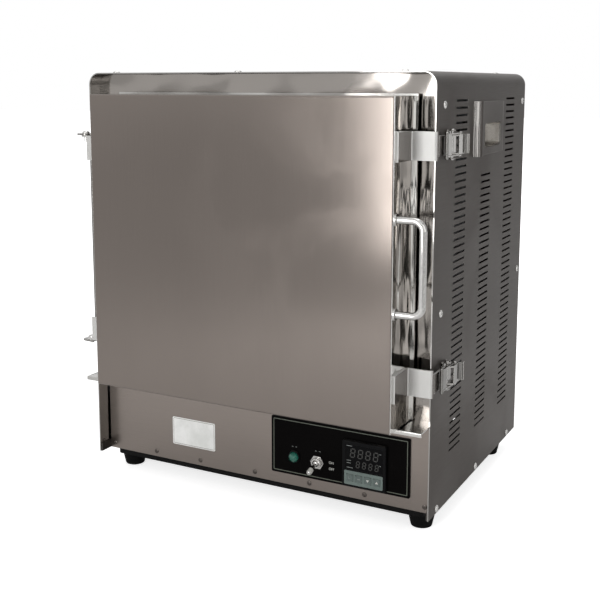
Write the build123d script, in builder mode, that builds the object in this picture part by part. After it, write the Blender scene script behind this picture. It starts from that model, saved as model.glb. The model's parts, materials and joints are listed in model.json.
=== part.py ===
from build123d import *
import os

# Bench-top muffle furnace: a stainless cabinet on rubber feet, a ceramic chamber inside it, a plug door
# hinged on the left and held shut by two toggle latches on the right, and a control plate under the sill.
# Frame: origin on the floor under the centre of the outer cover, +Z up, the door faces -Y, +X to its right.
# Lengths are in millimetres. Levels named "_below_top" are measured down from the top of the cover, and
# levels named "_above_bottom" up from its bottom edge.

os.makedirs("parts", exist_ok=True)

# ---------------------------------------------------------------- driving dimensions
# Outer cover, a sheet bent into an inverted U
cover_width = 400.0
cover_depth = 300.0
cover_height = 430.0
cover_wall = 1.2
cover_bend = 13.0
sheet_fit = 0.2

# Vent slots in both sides: column centre behind the front edge, rows left out at the column's top
slot_length = 34.0
slot_height = 2.2
slot_pitch = 7.14
slot_first_below_top = 27.5
slot_last_above_bottom = 52.0
slot_columns = [(73.0, 0), (155.5, 11), (240.5, 0)]

# Feet, plinth and floor tray
foot_height = 17.0
foot_top_radius = 14.5
foot_bottom_radius = 11.0
foot_from_side = 21.0
foot_from_front = 38.0
plinth_height = 5.4
plinth_inset = 12.0
plinth_bar = 40.0
tray_wall = 1.5
tray_flange = 9.0
tray_front_lip = 12.0
floor_vent_size = (36.0, 6.0)
floor_vent_spacing = (56.0, 24.0)
floor_vent_count = (5, 4)

# Front panels and sill
panel_recess = 17.0
panel_wall = 1.2
panel_flange = 15.0
panel_side_gap = 1.9
sill_above_bottom = 94.5
sill_wall = 1.2
sill_reach = 20.0
sill_lip = 4.0

# Rear panel
rear_flange = 12.0
rear_slot_rows = 9
rear_slot_columns = 4
rear_slot_spacing = 48.0
rear_slots_above_bottom = 62.0

# Door
door_left_gap = 34.0
door_right_gap = 24.0
door_top_below_top = 22.5
door_sill_gap = 1.6
door_front_reach = 41.6
door_wall = 1.5
door_bend = 1.6
door_back_wall = 2.0
door_back_overhang = 2.0
door_back_underhang = 0.5
gasket_gap = 4.0
gasket_clearance = 0.3
gasket_width = 12.0
gasket_margin = 6.0
plug_depth = 25.0
plug_taper = 8.0
plug_play = 3.0

# Chamber
chamber_width = 200.0
chamber_height = 150.0
chamber_depth = 190.0
chamber_corner = 8.0
muffle_wall = 12.0
hearth_thickness = 8.0
hearth_margin = 2.0
casing_width = 330.0
casing_wall = 1.0
casing_depth = 240.0
casing_seat = 0.3
casing_below_panel = 18.0
frame_wall = 1.5
frame_width = 344.0
frame_window_size = (48.0, 50.0)
frame_window_spacing = 64.0
frame_windows = 3

# Heating elements, bent from round wire beside the muffle
heater_radius = 1.5
heater_space = 4.5
heater_gap = 0.3
heater_runs = 6
heater_pitch = 22.0
heater_end_margin = 12.0
heater_lead = 22.0
bush_radius = 4.5
bush_reach = 8.0
bore_play = 0.2

# Thermocouple
sheath_radius = 3.0
sheath_in_chamber = 35.0
sheath_above_centre = 35.0
sheath_head_radius = 11.0
sheath_head_length = 20.0

# Hinges on the left
hinge_top_below_top = 68.0
hinge_low_above_bottom = 132.0
hinge_offset = 6.5
hinge_pin_radius = 2.0
hinge_pin_tail = 5.0
hinge_head_radius = 4.2
hinge_head_height = 2.6
hinge_sheet = 2.0
hinge_gap = 0.3
bracket_ear_radius = 5.5
bracket_ear_reach = 6.6
bracket_ear_end = 4.5
arm_ear_radius = 4.2
arm_ear_reach = 2.0
arm_ear_end = 3.4
arm_ear_front_gap = 0.6
arm_tab = 6.0
bracket_depth = 18.0
running_fit = 0.05

# Straps and arms, bent from the same strip
strap_sheet = 2.1
strap_height = 26.8
strap_foot_length = 32.0
strap_front_gap = 3.0
strap_side_gap = 1.5
strap_bend = 2.6
tongue_height = 18.8
tongue_length = 14.6
tongue_lip = 0.75
tongue_bead = 0.5
tongue_neck = 0.4
strap_upper_below_top = 68.0
strap_lower_above_bottom = 138.0

# Toggle latches: u is measured outward from the cover's side, v rearward from its front edge
latch_sheet = 1.2
latch_pivot = (4.0, 33.0)
latch_pivot_radius = 1.25
latch_joint = (7.5, 45.0)
latch_joint_radius = 1.2
latch_bar = (6.3, 12.2)
latch_bar_radius = 1.7
latch_bar_half = 13.0
latch_base_v = (20.0, 53.0)
latch_base_half = 9.0
latch_ear_half = 13.7
latch_ear_v = (27.0, 40.0)
latch_ear_radius = 3.4
lever_half = 9.2
lever_web_u = 9.4
lever_web_start = 34.5
lever_web_end = 49.5
lever_tail = (13.6, 56.0)
lever_sheet = 1.0
lever_pivot_boss = 2.4
lever_joint_boss = 2.2
bail_inner_half = 9.6
bail_web_end = 24.0
bail_wire = 2.2
bail_web_sheet = 1.0
bail_eye_radius = 2.4
rivet_head_overhang = 0.7
rivet_head_height = 0.9

# Door handle, a bent round bar
handle_radius = 3.5
handle_spacing = 87.4
handle_above_centre = 1.6
handle_stand_off = 27.0
handle_from_front = 6.0
handle_bend = 10.0
collar_overhang = 2.2
collar_height = 2.0

# Side carrying handles: a pressed hood with a finger slot and a cup behind it
grip_front = 109.0
grip_rear = 215.0
grip_top_below_top = 29.0
grip_bottom_below_top = 85.0
grip_bead_width = 18.0
grip_bead_height = 7.0
grip_slope_height = 3.15
grip_sheet = 1.2
window_front = 140.0
window_rear = 203.0
window_top_below_top = 52.0
window_bottom_below_top = 77.0
window_corner = 4.0
cup_depth = 20.0
cup_wall = 1.0

# Control plate, controller, lamp and switch
plate_left_from_side = 181.8
plate_right_from_side = 25.6
plate_top_above_bottom = 73.4
plate_bottom_above_bottom = 12.0
plate_sheet = 1.5
controller_size = 48.0
controller_body = 44.5
controller_cutout = 45.0
controller_bezel = 4.0
controller_length = 66.0
controller_from_side = 73.8
controller_above_bottom = 38.0
window_size = (42.0, 25.5)
window_above = 7.5
window_sheet = 0.8
keypad_size = (42.2, 14.6)
keypad_below = 14.3
keypad_sheet = 0.5
key_size = 7.4
key_pitch = 9.9
key_count = 4
key_height = 3.0
key_proud = 0.5
key_play = 0.15
key_pocket = 3.4
lamp_from_side = 154.5
lamp_above_bottom = 32.5
lamp_lens_radius = 6.5
lamp_lens_height = 6.0
lamp_body_radius = 5.9
lamp_body_length = 32.0
lamp_lens_fillet = 3.0
lamp_nut_overhang = 3.0
lamp_nut_height = 3.0
switch_from_side = 127.1
switch_above_bottom = 31.7
switch_neck_radius = 5.5
switch_bore_radius = 3.5
switch_neck_length = 6.0
switch_nut_radius = 7.6
switch_nut_height = 2.4
switch_body_size = (13.0, 26.0, 24.0)
switch_pin_radius = 0.8
switch_pin_half = 5.2
lever_length = 19.0
lever_root_radius = 1.5
lever_tip_radius = 2.6
lever_tip_fillet = 1.56
lever_rest_angle = 15.0

# Inner electrics
relay_size = (45.0, 58.0, 24.0)
relay_screw_spacing = (24.0, 42.0)
relay_screw_recess = (5.0, 3.0)
sink_size = (60.0, 90.0, 30.0)
sink_place = (-60.0, 40.0)
sink_plate = 4.0
sink_fin = 2.0
sink_fins = 7
terminal_size = (70.0, 24.0, 22.0)
terminal_place = (60.0, 90.0)
terminal_pitch = (11.0, 14.0)
terminal_count = (6, 2)
terminal_well = (8.0, 7.0, 8.0)
gland_radius = 9.0
gland_nut_height = 7.0
gland_dome_height = 11.0
gland_bore = 4.0
gland_wall = 3.0
gland_x = -120.0
gland_level = 34.0

# Fasteners
screw_head_radius = 3.6
screw_head_height = 1.8
screw_taper = 35
top_screw_from_front = 8.0
screw_from_front = 22.0
screw_from_rear = 12.0
screw_from_bottom = 5.0
top_screw_x = [-168.5, -15.0, 166.0]
side_screws_below_top = [31.0, 229.0]
low_screw_depths = [145.0, 265.0]
panel_screws_from_right = [10.0, 74.9, 137.8, 203.4, 273.2, 332.4, 391.0]
panel_screw_radius = 2.4
panel_screw_height = 1.0
panel_screw_from_bottom = 6.0

# ---------------------------------------------------------------- places worked out from them
half_width = cover_width / 2
front_y = -cover_depth / 2
rear_y = cover_depth / 2
plinth_top = foot_height + plinth_height
cover_bottom = plinth_top
cover_top = cover_bottom + cover_height
inner_half = half_width - cover_wall
panel_y = front_y + panel_recess
panel_back_y = panel_y + panel_wall
sill_top = cover_bottom + sill_above_bottom
lower_panel_top = sill_top - sill_wall
lower_panel_half = inner_half - panel_side_gap

door_left = -half_width + door_left_gap
door_right = half_width - door_right_gap
door_top = cover_top - door_top_below_top
door_bottom = sill_top + door_sill_gap
door_centre_x = (door_left + door_right) / 2
door_front_y = front_y - door_front_reach
door_back_y = panel_y - gasket_gap
door_plate_y = door_back_y - door_back_wall

chamber_z = (door_top + door_bottom) / 2
muffle_half_width = chamber_width / 2 + muffle_wall
muffle_half_height = chamber_height / 2 + muffle_wall
muffle_back_y = panel_back_y + chamber_depth + muffle_wall
mouth_half_width = chamber_width / 2
mouth_half_height = chamber_height / 2
casing_bottom = sill_top + panel_wall + casing_seat
casing_top = cover_top - cover_wall - sheet_fit - panel_wall - 2 * casing_seat - casing_below_panel
casing_back_y = panel_back_y + casing_depth
tray_floor_top = cover_bottom + tray_wall

hinge_x = -half_width - hinge_offset
hinge_y = front_y
hinge_top_z = cover_top - hinge_top_below_top
hinge_low_z = cover_bottom + hinge_low_above_bottom
strap_levels = [cover_top - strap_upper_below_top, cover_bottom + strap_lower_above_bottom]
handle_z = chamber_z + handle_above_centre
handle_y = door_front_y + handle_from_front

window_z = cover_top - (window_top_below_top + window_bottom_below_top) / 2
window_y = front_y + (window_front + window_rear) / 2
window_length = window_rear - window_front
window_height = window_bottom_below_top - window_top_below_top

plate_left = half_width - plate_left_from_side
plate_right = half_width - plate_right_from_side
plate_top = cover_bottom + plate_top_above_bottom
plate_bottom = cover_bottom + plate_bottom_above_bottom
plate_y = panel_y - plate_sheet
controller_x = half_width - controller_from_side
controller_z = cover_bottom + controller_above_bottom
bezel_y = plate_y - controller_bezel
keypad_z = controller_z - keypad_below
lamp_x = half_width - lamp_from_side
lamp_z = cover_bottom + lamp_above_bottom
switch_x = half_width - switch_from_side
switch_z = cover_bottom + switch_above_bottom
switch_pivot_y = plate_y - switch_bore_radius - running_fit


# ---------------------------------------------------------------- helpers
def front_plane(y):
    """Upright plane at depth y, seen from the front: local x is X, local y is Z."""
    return Plane(origin=(0, y, 0), x_dir=(1, 0, 0), z_dir=(0, -1, 0))


def side_plane(x):
    """Upright plane at width x, seen from the right: local x is Y, local y is Z."""
    return Plane.YZ.offset(x)


def level_plane(z):
    """Level plane at height z: local x is X, local y is Y."""
    return Plane.XY.offset(z)


def patch(x_low, x_high, y_low, y_high, corner=0.0, mode=Mode.ADD):
    """Rectangle between two corners, in the sketch that is open."""
    with Locations(((x_low + x_high) / 2, (y_low + y_high) / 2)):
        if corner > 0:
            RectangleRounded(x_high - x_low, y_high - y_low, corner, mode=mode)
        else:
            Rectangle(x_high - x_low, y_high - y_low, mode=mode)


def write(piece, name):
    """Label a finished piece and write its STEP file."""
    piece.part.label = name
    export_step(piece.part, f"parts/{name}.step")


def mirrored(piece):
    """The same piece on the cabinet's other side."""
    with BuildPart() as other:
        add(mirror(piece.part, about=Plane.YZ, mode=Mode.PRIVATE))
    return other


# ---------------------------------------------------------------- cabinet: feet, plinth and tray
with BuildPart() as rubber_feet:
    foot_x = half_width - foot_from_side
    foot_y = cover_depth / 2 - foot_from_front
    with BuildSketch(level_plane(0)):
        with GridLocations(2 * foot_x, 2 * foot_y, 2, 2):
            Circle(foot_bottom_radius)
    with BuildSketch(level_plane(foot_height)):
        with GridLocations(2 * foot_x, 2 * foot_y, 2, 2):
            Circle(foot_top_radius)
    foot_sections = rubber_feet.pending_faces
    foot_sections.sort(key=lambda face: (face.center().X, face.center().Y, face.center().Z))
    foot_pairs = [foot_sections[start : start + 2] for start in range(0, 8, 2)]
    rubber_feet.pending_faces = []
    for foot_pair in foot_pairs:
        loft(sections=foot_pair)
write(rubber_feet, "rubber_feet")

with BuildPart() as base_plinth:
    plinth_half = half_width - plinth_inset
    with BuildSketch(level_plane(foot_height)):
        patch(-plinth_half, plinth_half, panel_y, rear_y - plinth_inset, corner=6)
        patch(
            -plinth_half + plinth_bar,
            plinth_half - plinth_bar,
            panel_y + plinth_bar,
            rear_y - plinth_inset - plinth_bar,
            mode=Mode.SUBTRACT,
        )
    extrude(amount=plinth_height)
write(base_plinth, "base_plinth")

tray_half = inner_half - sheet_fit
tray_back_y = rear_y - rear_flange - 1.0
with BuildPart() as floor_tray:
    with BuildSketch(level_plane(cover_bottom)):
        patch(-tray_half, tray_half, panel_back_y, tray_back_y)
    extrude(amount=tray_wall)
    with BuildSketch(level_plane(cover_bottom)):
        patch(-tray_half, -tray_half + tray_wall, front_y + 1, tray_back_y)
        patch(tray_half - tray_wall, tray_half, front_y + 1, tray_back_y)
    extrude(amount=tray_flange)
    with BuildSketch(level_plane(cover_bottom)):
        patch(-lower_panel_half, lower_panel_half, panel_back_y, panel_back_y + tray_wall)
    extrude(amount=tray_front_lip)
    with BuildSketch(level_plane(cover_bottom)) as floor_vents:
        with GridLocations(*floor_vent_spacing, *floor_vent_count):
            SlotOverall(*floor_vent_size)
    extrude(amount=tray_wall, mode=Mode.SUBTRACT)
write(floor_tray, "floor_tray")

# ---------------------------------------------------------------- cabinet: outer cover
with BuildPart() as outer_cover:
    with BuildSketch(front_plane(front_y)) as cover_section:
        patch(-half_width, half_width, cover_bottom, cover_top)
        fillet(cover_section.vertices().group_by(Axis.Y)[-1], cover_bend)
    extrude(amount=-cover_depth)
    with BuildSketch(front_plane(front_y)) as cover_hollow:
        patch(-inner_half, inner_half, cover_bottom, cover_top - cover_wall)
        fillet(cover_hollow.vertices().group_by(Axis.Y)[-1], cover_bend - cover_wall)
    extrude(amount=-cover_depth, mode=Mode.SUBTRACT)
    with BuildSketch(side_plane(0)) as vents:
        slot_span = cover_height - slot_first_below_top - slot_last_above_bottom
        full_rows = int(slot_span / slot_pitch) + 1
        for column_y, rows_left_out in slot_columns:
            rows = full_rows - rows_left_out
            first_z = cover_top - slot_first_below_top - rows_left_out * slot_pitch
            column_z = first_z - (rows - 1) * slot_pitch / 2
            with Locations((front_y + column_y, column_z)):
                with GridLocations(slot_length, slot_pitch, 1, rows):
                    Rectangle(slot_length, slot_height)
    extrude(amount=half_width, both=True, mode=Mode.SUBTRACT)
    with BuildSketch(side_plane(0)):
        with Locations((window_y, window_z)):
            RectangleRounded(window_length, window_height, window_corner)
    extrude(amount=half_width, both=True, mode=Mode.SUBTRACT)
write(outer_cover, "outer_cover")


# ---------------------------------------------------------------- cabinet: side carrying handles
def grip_hood():
    """Pressed hood on the right side: a rounded bead in front, a slope behind it and a finger slot."""
    x_skin = half_width
    bead_y = front_y + grip_front + grip_bead_width / 2
    slope_y = front_y + grip_front + grip_bead_width
    hood_rear = front_y + grip_rear
    hood_low = cover_top - grip_bottom_below_top
    hood_high = cover_top - grip_top_below_top
    with BuildPart() as hood:
        with BuildSketch(level_plane(hood_low)):
            with BuildLine():
                start = (x_skin, front_y + grip_front)
                crest = (x_skin + grip_bead_height, bead_y)
                foot = (x_skin + grip_slope_height, slope_y)
                end = (x_skin, hood_rear)
                ThreePointArc(start, crest, foot)
                Line(foot, end)
                Line(end, start)
            make_face()
        extrude(amount=hood_high - hood_low)
        outer_edges = hood.edges().filter_by(GeomType.LINE).filter_by(Axis.Z, reverse=True)
        rim = outer_edges.filter_by(lambda edge: edge.center().X > x_skin + grip_sheet / 2)
        chamfer(rim, grip_sheet * 0.8)
        with BuildSketch(side_plane(x_skin)):
            with Locations((window_y, window_z)):
                RectangleRounded(window_length, window_height, window_corner)
        extrude(amount=2 * grip_bead_height, mode=Mode.SUBTRACT)
    return hood


def grip_cup():
    """Drawn cup behind the finger slot, hung in the cut-out of the cover."""
    with BuildPart() as cup:
        cup_top = half_width - cover_wall
        with BuildSketch(side_plane(cup_top)):
            with Locations((window_y, window_z)):
                RectangleRounded(
                    window_length + 2 * cup_wall, window_height + 2 * cup_wall, window_corner + cup_wall
                )
        extrude(amount=-cup_depth)
        with BuildSketch(side_plane(cup_top)):
            with Locations((window_y, window_z)):
                RectangleRounded(window_length, window_height, window_corner)
        extrude(amount=-cup_depth + cup_wall, mode=Mode.SUBTRACT)
    return cup


grip_hood_right = grip_hood()
write(grip_hood_right, "grip_hood_right")
write(mirrored(grip_hood_right), "grip_hood_left")
grip_cup_right = grip_cup()
write(grip_cup_right, "grip_cup_right")
write(mirrored(grip_cup_right), "grip_cup_left")

# ---------------------------------------------------------------- cabinet: panels and sill
with BuildPart() as upper_panel:
    panel_half = inner_half - sheet_fit
    panel_top = cover_top - cover_wall - sheet_fit
    with BuildSketch(front_plane(panel_y)) as panel_outline:
        patch(-panel_half, panel_half, sill_top, panel_top)
        fillet(panel_outline.vertices().group_by(Axis.Y)[-1], cover_bend - cover_wall - sheet_fit)
    extrude(amount=-panel_flange)
    offset(amount=-panel_wall, openings=upper_panel.faces().sort_by(Axis.Y)[-1])
    with BuildSketch(front_plane(panel_y)):
        with Locations((0, chamber_z)):
            RectangleRounded(chamber_width, chamber_height, chamber_corner)
    extrude(amount=-panel_wall, mode=Mode.SUBTRACT)
write(upper_panel, "upper_panel")

with BuildPart() as lower_panel:
    with BuildSketch(front_plane(panel_y)):
        patch(-lower_panel_half, lower_panel_half, cover_bottom, lower_panel_top)
        with Locations((controller_x, controller_z)):
            Rectangle(controller_cutout, controller_cutout, mode=Mode.SUBTRACT)
        with Locations((lamp_x, lamp_z)):
            Circle(lamp_body_radius + bore_play, mode=Mode.SUBTRACT)
        with Locations((switch_x, switch_z)):
            Circle(switch_neck_radius + bore_play, mode=Mode.SUBTRACT)
    extrude(amount=-panel_wall)
    with BuildSketch(level_plane(lower_panel_top)):
        patch(-lower_panel_half, lower_panel_half, panel_y, panel_y + panel_flange)
    extrude(amount=-panel_wall)
write(lower_panel, "lower_panel")

with BuildPart() as sill_shelf:
    sill_half = inner_half - sheet_fit
    sill_front = front_y - sill_reach
    with BuildSketch(side_plane(-sill_half)):
        patch(sill_front, panel_y + panel_flange, sill_top - sill_wall, sill_top)
        patch(sill_front, sill_front + sill_wall, sill_top - sill_lip, sill_top)
    extrude(amount=2 * sill_half)
    fillet(sill_shelf.edges().filter_by(Axis.X).group_by(Axis.Y)[0].sort_by(Axis.Z)[-1], sill_wall * 0.8)
write(sill_shelf, "sill_shelf")

with BuildPart() as rear_panel:
    rear_half = inner_half - sheet_fit
    rear_top = cover_top - cover_wall - sheet_fit
    with BuildSketch(front_plane(rear_y - rear_flange)) as rear_outline:
        patch(-rear_half, rear_half, cover_bottom, rear_top)
        fillet(rear_outline.vertices().group_by(Axis.Y)[-1], cover_bend - cover_wall - sheet_fit)
    extrude(amount=-rear_flange)
    rear_openings = [rear_panel.faces().sort_by(Axis.Y)[0], rear_panel.faces().sort_by(Axis.Z)[0]]
    offset(amount=-panel_wall, openings=rear_openings)
    with BuildSketch(front_plane(rear_y)):
        with Locations((0, cover_bottom + rear_slots_above_bottom)):
            with GridLocations(rear_slot_spacing, slot_pitch, rear_slot_columns, rear_slot_rows):
                Rectangle(slot_length, slot_height)
        with Locations((gland_x, cover_bottom + gland_level)):
            Circle(gland_radius - gland_wall + bore_play)
    extrude(amount=-panel_wall, both=True, mode=Mode.SUBTRACT)
write(rear_panel, "rear_panel")

# ---------------------------------------------------------------- cabinet: chamber and its insulation
with BuildPart() as inner_frame:
    frame_half = frame_width / 2
    frame_front = panel_y + panel_flange + 1.0
    with BuildSketch(front_plane(frame_front)):
        patch(-frame_half, frame_half, tray_floor_top, casing_bottom)
        patch(
            -frame_half + frame_wall,
            frame_half - frame_wall,
            tray_floor_top,
            casing_bottom - frame_wall,
            mode=Mode.SUBTRACT,
        )
    extrude(amount=-(casing_back_y - frame_front))
    with BuildSketch(side_plane(-frame_half)):
        with Locations(((frame_front + casing_back_y) / 2, (tray_floor_top + casing_bottom) / 2)):
            with GridLocations(frame_window_spacing, 1.0, frame_windows, 1):
                RectangleRounded(*frame_window_size, chamber_corner)
    extrude(amount=frame_width, mode=Mode.SUBTRACT)
write(inner_frame, "inner_frame")

bush_places = []
for side in (-1, 1):
    bush_x = side * (muffle_half_width + heater_gap + heater_radius)
    for end in (-1, 1):
        bush_places.append((bush_x, chamber_z + end * (heater_runs - 1) * heater_pitch / 2))

casing_half = casing_width / 2
with BuildPart() as inner_casing:
    with BuildSketch(front_plane(panel_back_y)):
        patch(-casing_half, casing_half, casing_bottom, casing_top)
    extrude(amount=-casing_depth)
    offset(amount=-casing_wall, openings=inner_casing.faces().sort_by(Axis.Y)[0])
    with BuildSketch(front_plane(casing_back_y)):
        with Locations(*bush_places):
            Circle(bush_radius + bore_play)
        with Locations((0, chamber_z + sheath_above_centre)):
            Circle(sheath_radius + bore_play)
    extrude(amount=2 * casing_wall, mode=Mode.SUBTRACT)
write(inner_casing, "inner_casing")

with BuildPart() as fibre_insulation:
    block_half = casing_half - casing_wall
    with BuildSketch(front_plane(panel_back_y)):
        patch(-block_half, block_half, casing_bottom + casing_wall, casing_top - casing_wall)
    extrude(amount=-(casing_depth - casing_wall))
    with BuildSketch(front_plane(panel_back_y)):
        patch(
            -muffle_half_width - heater_space,
            muffle_half_width + heater_space,
            chamber_z - muffle_half_height,
            chamber_z + muffle_half_height,
        )
    extrude(amount=-(chamber_depth + muffle_wall), mode=Mode.SUBTRACT)
    with BuildSketch(front_plane(casing_back_y)):
        with Locations(*bush_places):
            Circle(bush_radius + bore_play)
        with Locations((0, chamber_z + sheath_above_centre)):
            Circle(sheath_radius + bore_play)
    extrude(amount=casing_back_y - muffle_back_y + 1.0, mode=Mode.SUBTRACT)
write(fibre_insulation, "fibre_insulation")

with BuildPart() as muffle:
    with BuildSketch(front_plane(panel_back_y)):
        with Locations((0, chamber_z)):
            Rectangle(2 * muffle_half_width, 2 * muffle_half_height)
    extrude(amount=-(chamber_depth + muffle_wall))
    with BuildSketch(front_plane(panel_back_y)):
        with Locations((0, chamber_z)):
            RectangleRounded(chamber_width, chamber_height, chamber_corner)
    extrude(amount=-chamber_depth, mode=Mode.SUBTRACT)
    with BuildSketch(front_plane(muffle_back_y)):
        with Locations((0, chamber_z + sheath_above_centre)):
            Circle(sheath_radius + bore_play)
    extrude(amount=muffle_wall, mode=Mode.SUBTRACT)
write(muffle, "muffle")

with BuildPart() as hearth_plate:
    hearth_half = chamber_width / 2 - chamber_corner - hearth_margin
    hearth_bottom = chamber_z - chamber_height / 2
    with BuildSketch(level_plane(hearth_bottom)):
        patch(
            -hearth_half,
            hearth_half,
            panel_y + plug_depth + 2 * hearth_margin,
            panel_back_y + chamber_depth - hearth_margin,
            corner=4,
        )
    extrude(amount=hearth_thickness)
    chamfer(hearth_plate.faces().sort_by(Axis.Z)[-1].edges(), 1.0)
write(hearth_plate, "hearth_plate")


with BuildPart() as heating_elements:
    near_y = panel_back_y + heater_end_margin
    far_y = muffle_back_y - heater_end_margin
    lead_y = casing_back_y + heater_lead
    lowest_z = chamber_z - (heater_runs - 1) * heater_pitch / 2
    for side in (-1, 1):
        heater_x = side * (muffle_half_width + heater_gap + heater_radius)
        corners = [(heater_x, lead_y, lowest_z)]
        for run in range(heater_runs - 1):
            turn_y = near_y if run % 2 == 0 else far_y
            run_z = lowest_z + run * heater_pitch
            corners.append((heater_x, turn_y, run_z))
            corners.append((heater_x, turn_y, run_z + heater_pitch))
        corners.append((heater_x, lead_y, lowest_z + (heater_runs - 1) * heater_pitch))
        with BuildLine() as element_path:
            FilletPolyline(*corners, radius=heater_pitch * 0.45)
        with BuildSketch(Plane(origin=element_path.line @ 0, z_dir=element_path.line % 0)):
            Circle(heater_radius)
        sweep(path=element_path.line)
write(heating_elements, "heating_elements")

with BuildPart() as lead_bushes:
    with BuildSketch(front_plane(casing_back_y + bush_reach)):
        with Locations(*bush_places):
            Circle(bush_radius)
            Circle(heater_radius + heater_gap, mode=Mode.SUBTRACT)
    extrude(amount=casing_back_y + bush_reach - muffle_back_y)
write(lead_bushes, "lead_bushes")

with BuildPart() as thermocouple:
    sheath_plane = Plane(
        origin=(0, casing_back_y, chamber_z + sheath_above_centre), x_dir=(1, 0, 0), z_dir=(0, -1, 0)
    )
    sheath_length = casing_back_y - (panel_back_y + chamber_depth) + sheath_in_chamber
    with BuildSketch(sheath_plane):
        Circle(sheath_radius)
    extrude(amount=sheath_length)
    fillet(thermocouple.edges().sort_by(Axis.Y)[0], sheath_radius * 0.9)
    with BuildSketch(sheath_plane):
        Circle(sheath_head_radius)
    extrude(amount=-sheath_head_length)
    chamfer(thermocouple.edges().sort_by(Axis.Y)[-1], 2.0)
write(thermocouple, "thermocouple")

with BuildPart() as door_gasket:
    gasket_inner_x = chamber_width / 2 + gasket_margin
    gasket_inner_z = chamber_height / 2 + gasket_margin
    with BuildSketch(front_plane(panel_y)):
        with Locations((0, chamber_z)):
            RectangleRounded(
                2 * (gasket_inner_x + gasket_width), 2 * (gasket_inner_z + gasket_width), gasket_width
            )
            Rectangle(2 * gasket_inner_x, 2 * gasket_inner_z, mode=Mode.SUBTRACT)
    extrude(amount=gasket_gap - gasket_clearance)
    fillet(door_gasket.faces().sort_by(Axis.Y)[0].outer_wire().edges(), 1.5)
write(door_gasket, "door_gasket")

# ---------------------------------------------------------------- cabinet: inner electrics
with BuildPart() as relay_heat_sink:
    for plate_z in (tray_floor_top, tray_floor_top + sink_size[2] - sink_plate):
        with BuildSketch(level_plane(plate_z)):
            with Locations(sink_place):
                Rectangle(sink_size[0], sink_size[1])
        extrude(amount=sink_plate)
    with BuildSketch(level_plane(tray_floor_top + sink_plate)):
        with Locations(sink_place):
            with GridLocations((sink_size[0] - sink_fin) / (sink_fins - 1), 1.0, sink_fins, 1):
                Rectangle(sink_fin, sink_size[1])
    extrude(amount=sink_size[2] - 2 * sink_plate)
write(relay_heat_sink, "relay_heat_sink")

with BuildPart() as power_relay:
    with BuildSketch(level_plane(tray_floor_top + sink_size[2])):
        with Locations(sink_place):
            RectangleRounded(relay_size[0], relay_size[1], 2.0)
    extrude(amount=relay_size[2])
    with BuildSketch(level_plane(tray_floor_top + sink_size[2] + relay_size[2])):
        with Locations(sink_place):
            with GridLocations(*relay_screw_spacing, 2, 2):
                Circle(relay_screw_recess[0])
    extrude(amount=-relay_screw_recess[1], mode=Mode.SUBTRACT)
write(power_relay, "power_relay")

with BuildPart() as terminal_block:
    with BuildSketch(level_plane(tray_floor_top)):
        with Locations(terminal_place):
            Rectangle(terminal_size[0], terminal_size[1])
    extrude(amount=terminal_size[2])
    with BuildSketch(level_plane(tray_floor_top + terminal_size[2])):
        with Locations(terminal_place):
            with GridLocations(*terminal_pitch, *terminal_count):
                Rectangle(terminal_well[0], terminal_well[1])
    extrude(amount=-terminal_well[2], mode=Mode.SUBTRACT)
write(terminal_block, "terminal_block")

with BuildPart() as cable_gland:
    gland_plane = Plane(
        origin=(gland_x, rear_y, cover_bottom + gland_level), x_dir=(1, 0, 0), z_dir=(0, 1, 0)
    )
    with BuildSketch(gland_plane):
        RegularPolygon(gland_radius, 6)
        Circle(gland_bore, mode=Mode.SUBTRACT)
    extrude(amount=gland_nut_height)
    with BuildSketch(gland_plane):
        Circle(gland_radius - gland_wall)
        Circle(gland_bore, mode=Mode.SUBTRACT)
    extrude(amount=-gland_nut_height)
    with BuildSketch(gland_plane.offset(gland_nut_height)):
        Circle(gland_radius - gland_wall + 1.5)
        Circle(gland_bore, mode=Mode.SUBTRACT)
    extrude(amount=gland_dome_height - gland_nut_height)
    chamfer(cable_gland.edges().group_by(Axis.Y)[-1].sort_by(SortBy.LENGTH)[-1], 1.5)
write(cable_gland, "cable_gland")

# ---------------------------------------------------------------- cabinet: control plate
with BuildPart() as control_plate:
    with BuildSketch(front_plane(panel_y)):
        patch(plate_left, plate_right, plate_bottom, plate_top, corner=1.5)
        with Locations((controller_x, controller_z)):
            Rectangle(controller_cutout, controller_cutout, mode=Mode.SUBTRACT)
        with Locations((lamp_x, lamp_z)):
            Circle(lamp_body_radius + bore_play, mode=Mode.SUBTRACT)
        with Locations((switch_x, switch_z)):
            Circle(switch_neck_radius + bore_play, mode=Mode.SUBTRACT)
    extrude(amount=plate_sheet)
write(control_plate, "control_plate")

key_xs = [controller_x + (index - (key_count - 1) / 2) * key_pitch for index in range(key_count)]
key_hole = key_size + 2 * key_play
window_z_centre = controller_z + window_above
with BuildPart() as temperature_controller:
    with BuildSketch(front_plane(bezel_y)):
        with Locations((controller_x, controller_z)):
            RectangleRounded(controller_size, controller_size, 1.5)
    extrude(amount=-controller_bezel)
    chamfer(temperature_controller.faces().sort_by(Axis.Y)[0].edges(), 0.6)
    with BuildSketch(front_plane(plate_y)):
        with Locations((controller_x, controller_z)):
            Rectangle(controller_body, controller_body)
    extrude(amount=-controller_length)
    with BuildSketch(front_plane(bezel_y)):
        with Locations((controller_x, window_z_centre)):
            Rectangle(window_size[0], window_size[1])
    extrude(amount=-window_sheet, mode=Mode.SUBTRACT)
    with BuildSketch(front_plane(bezel_y)):
        with Locations(*[(x, keypad_z) for x in key_xs]):
            Rectangle(key_hole, key_hole)
    extrude(amount=-key_pocket, mode=Mode.SUBTRACT)
write(temperature_controller, "temperature_controller")

with BuildPart() as display_window:
    with BuildSketch(front_plane(bezel_y)):
        with Locations((controller_x, window_z_centre)):
            Rectangle(window_size[0], window_size[1])
    extrude(amount=-window_sheet)
write(display_window, "display_window")

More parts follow.
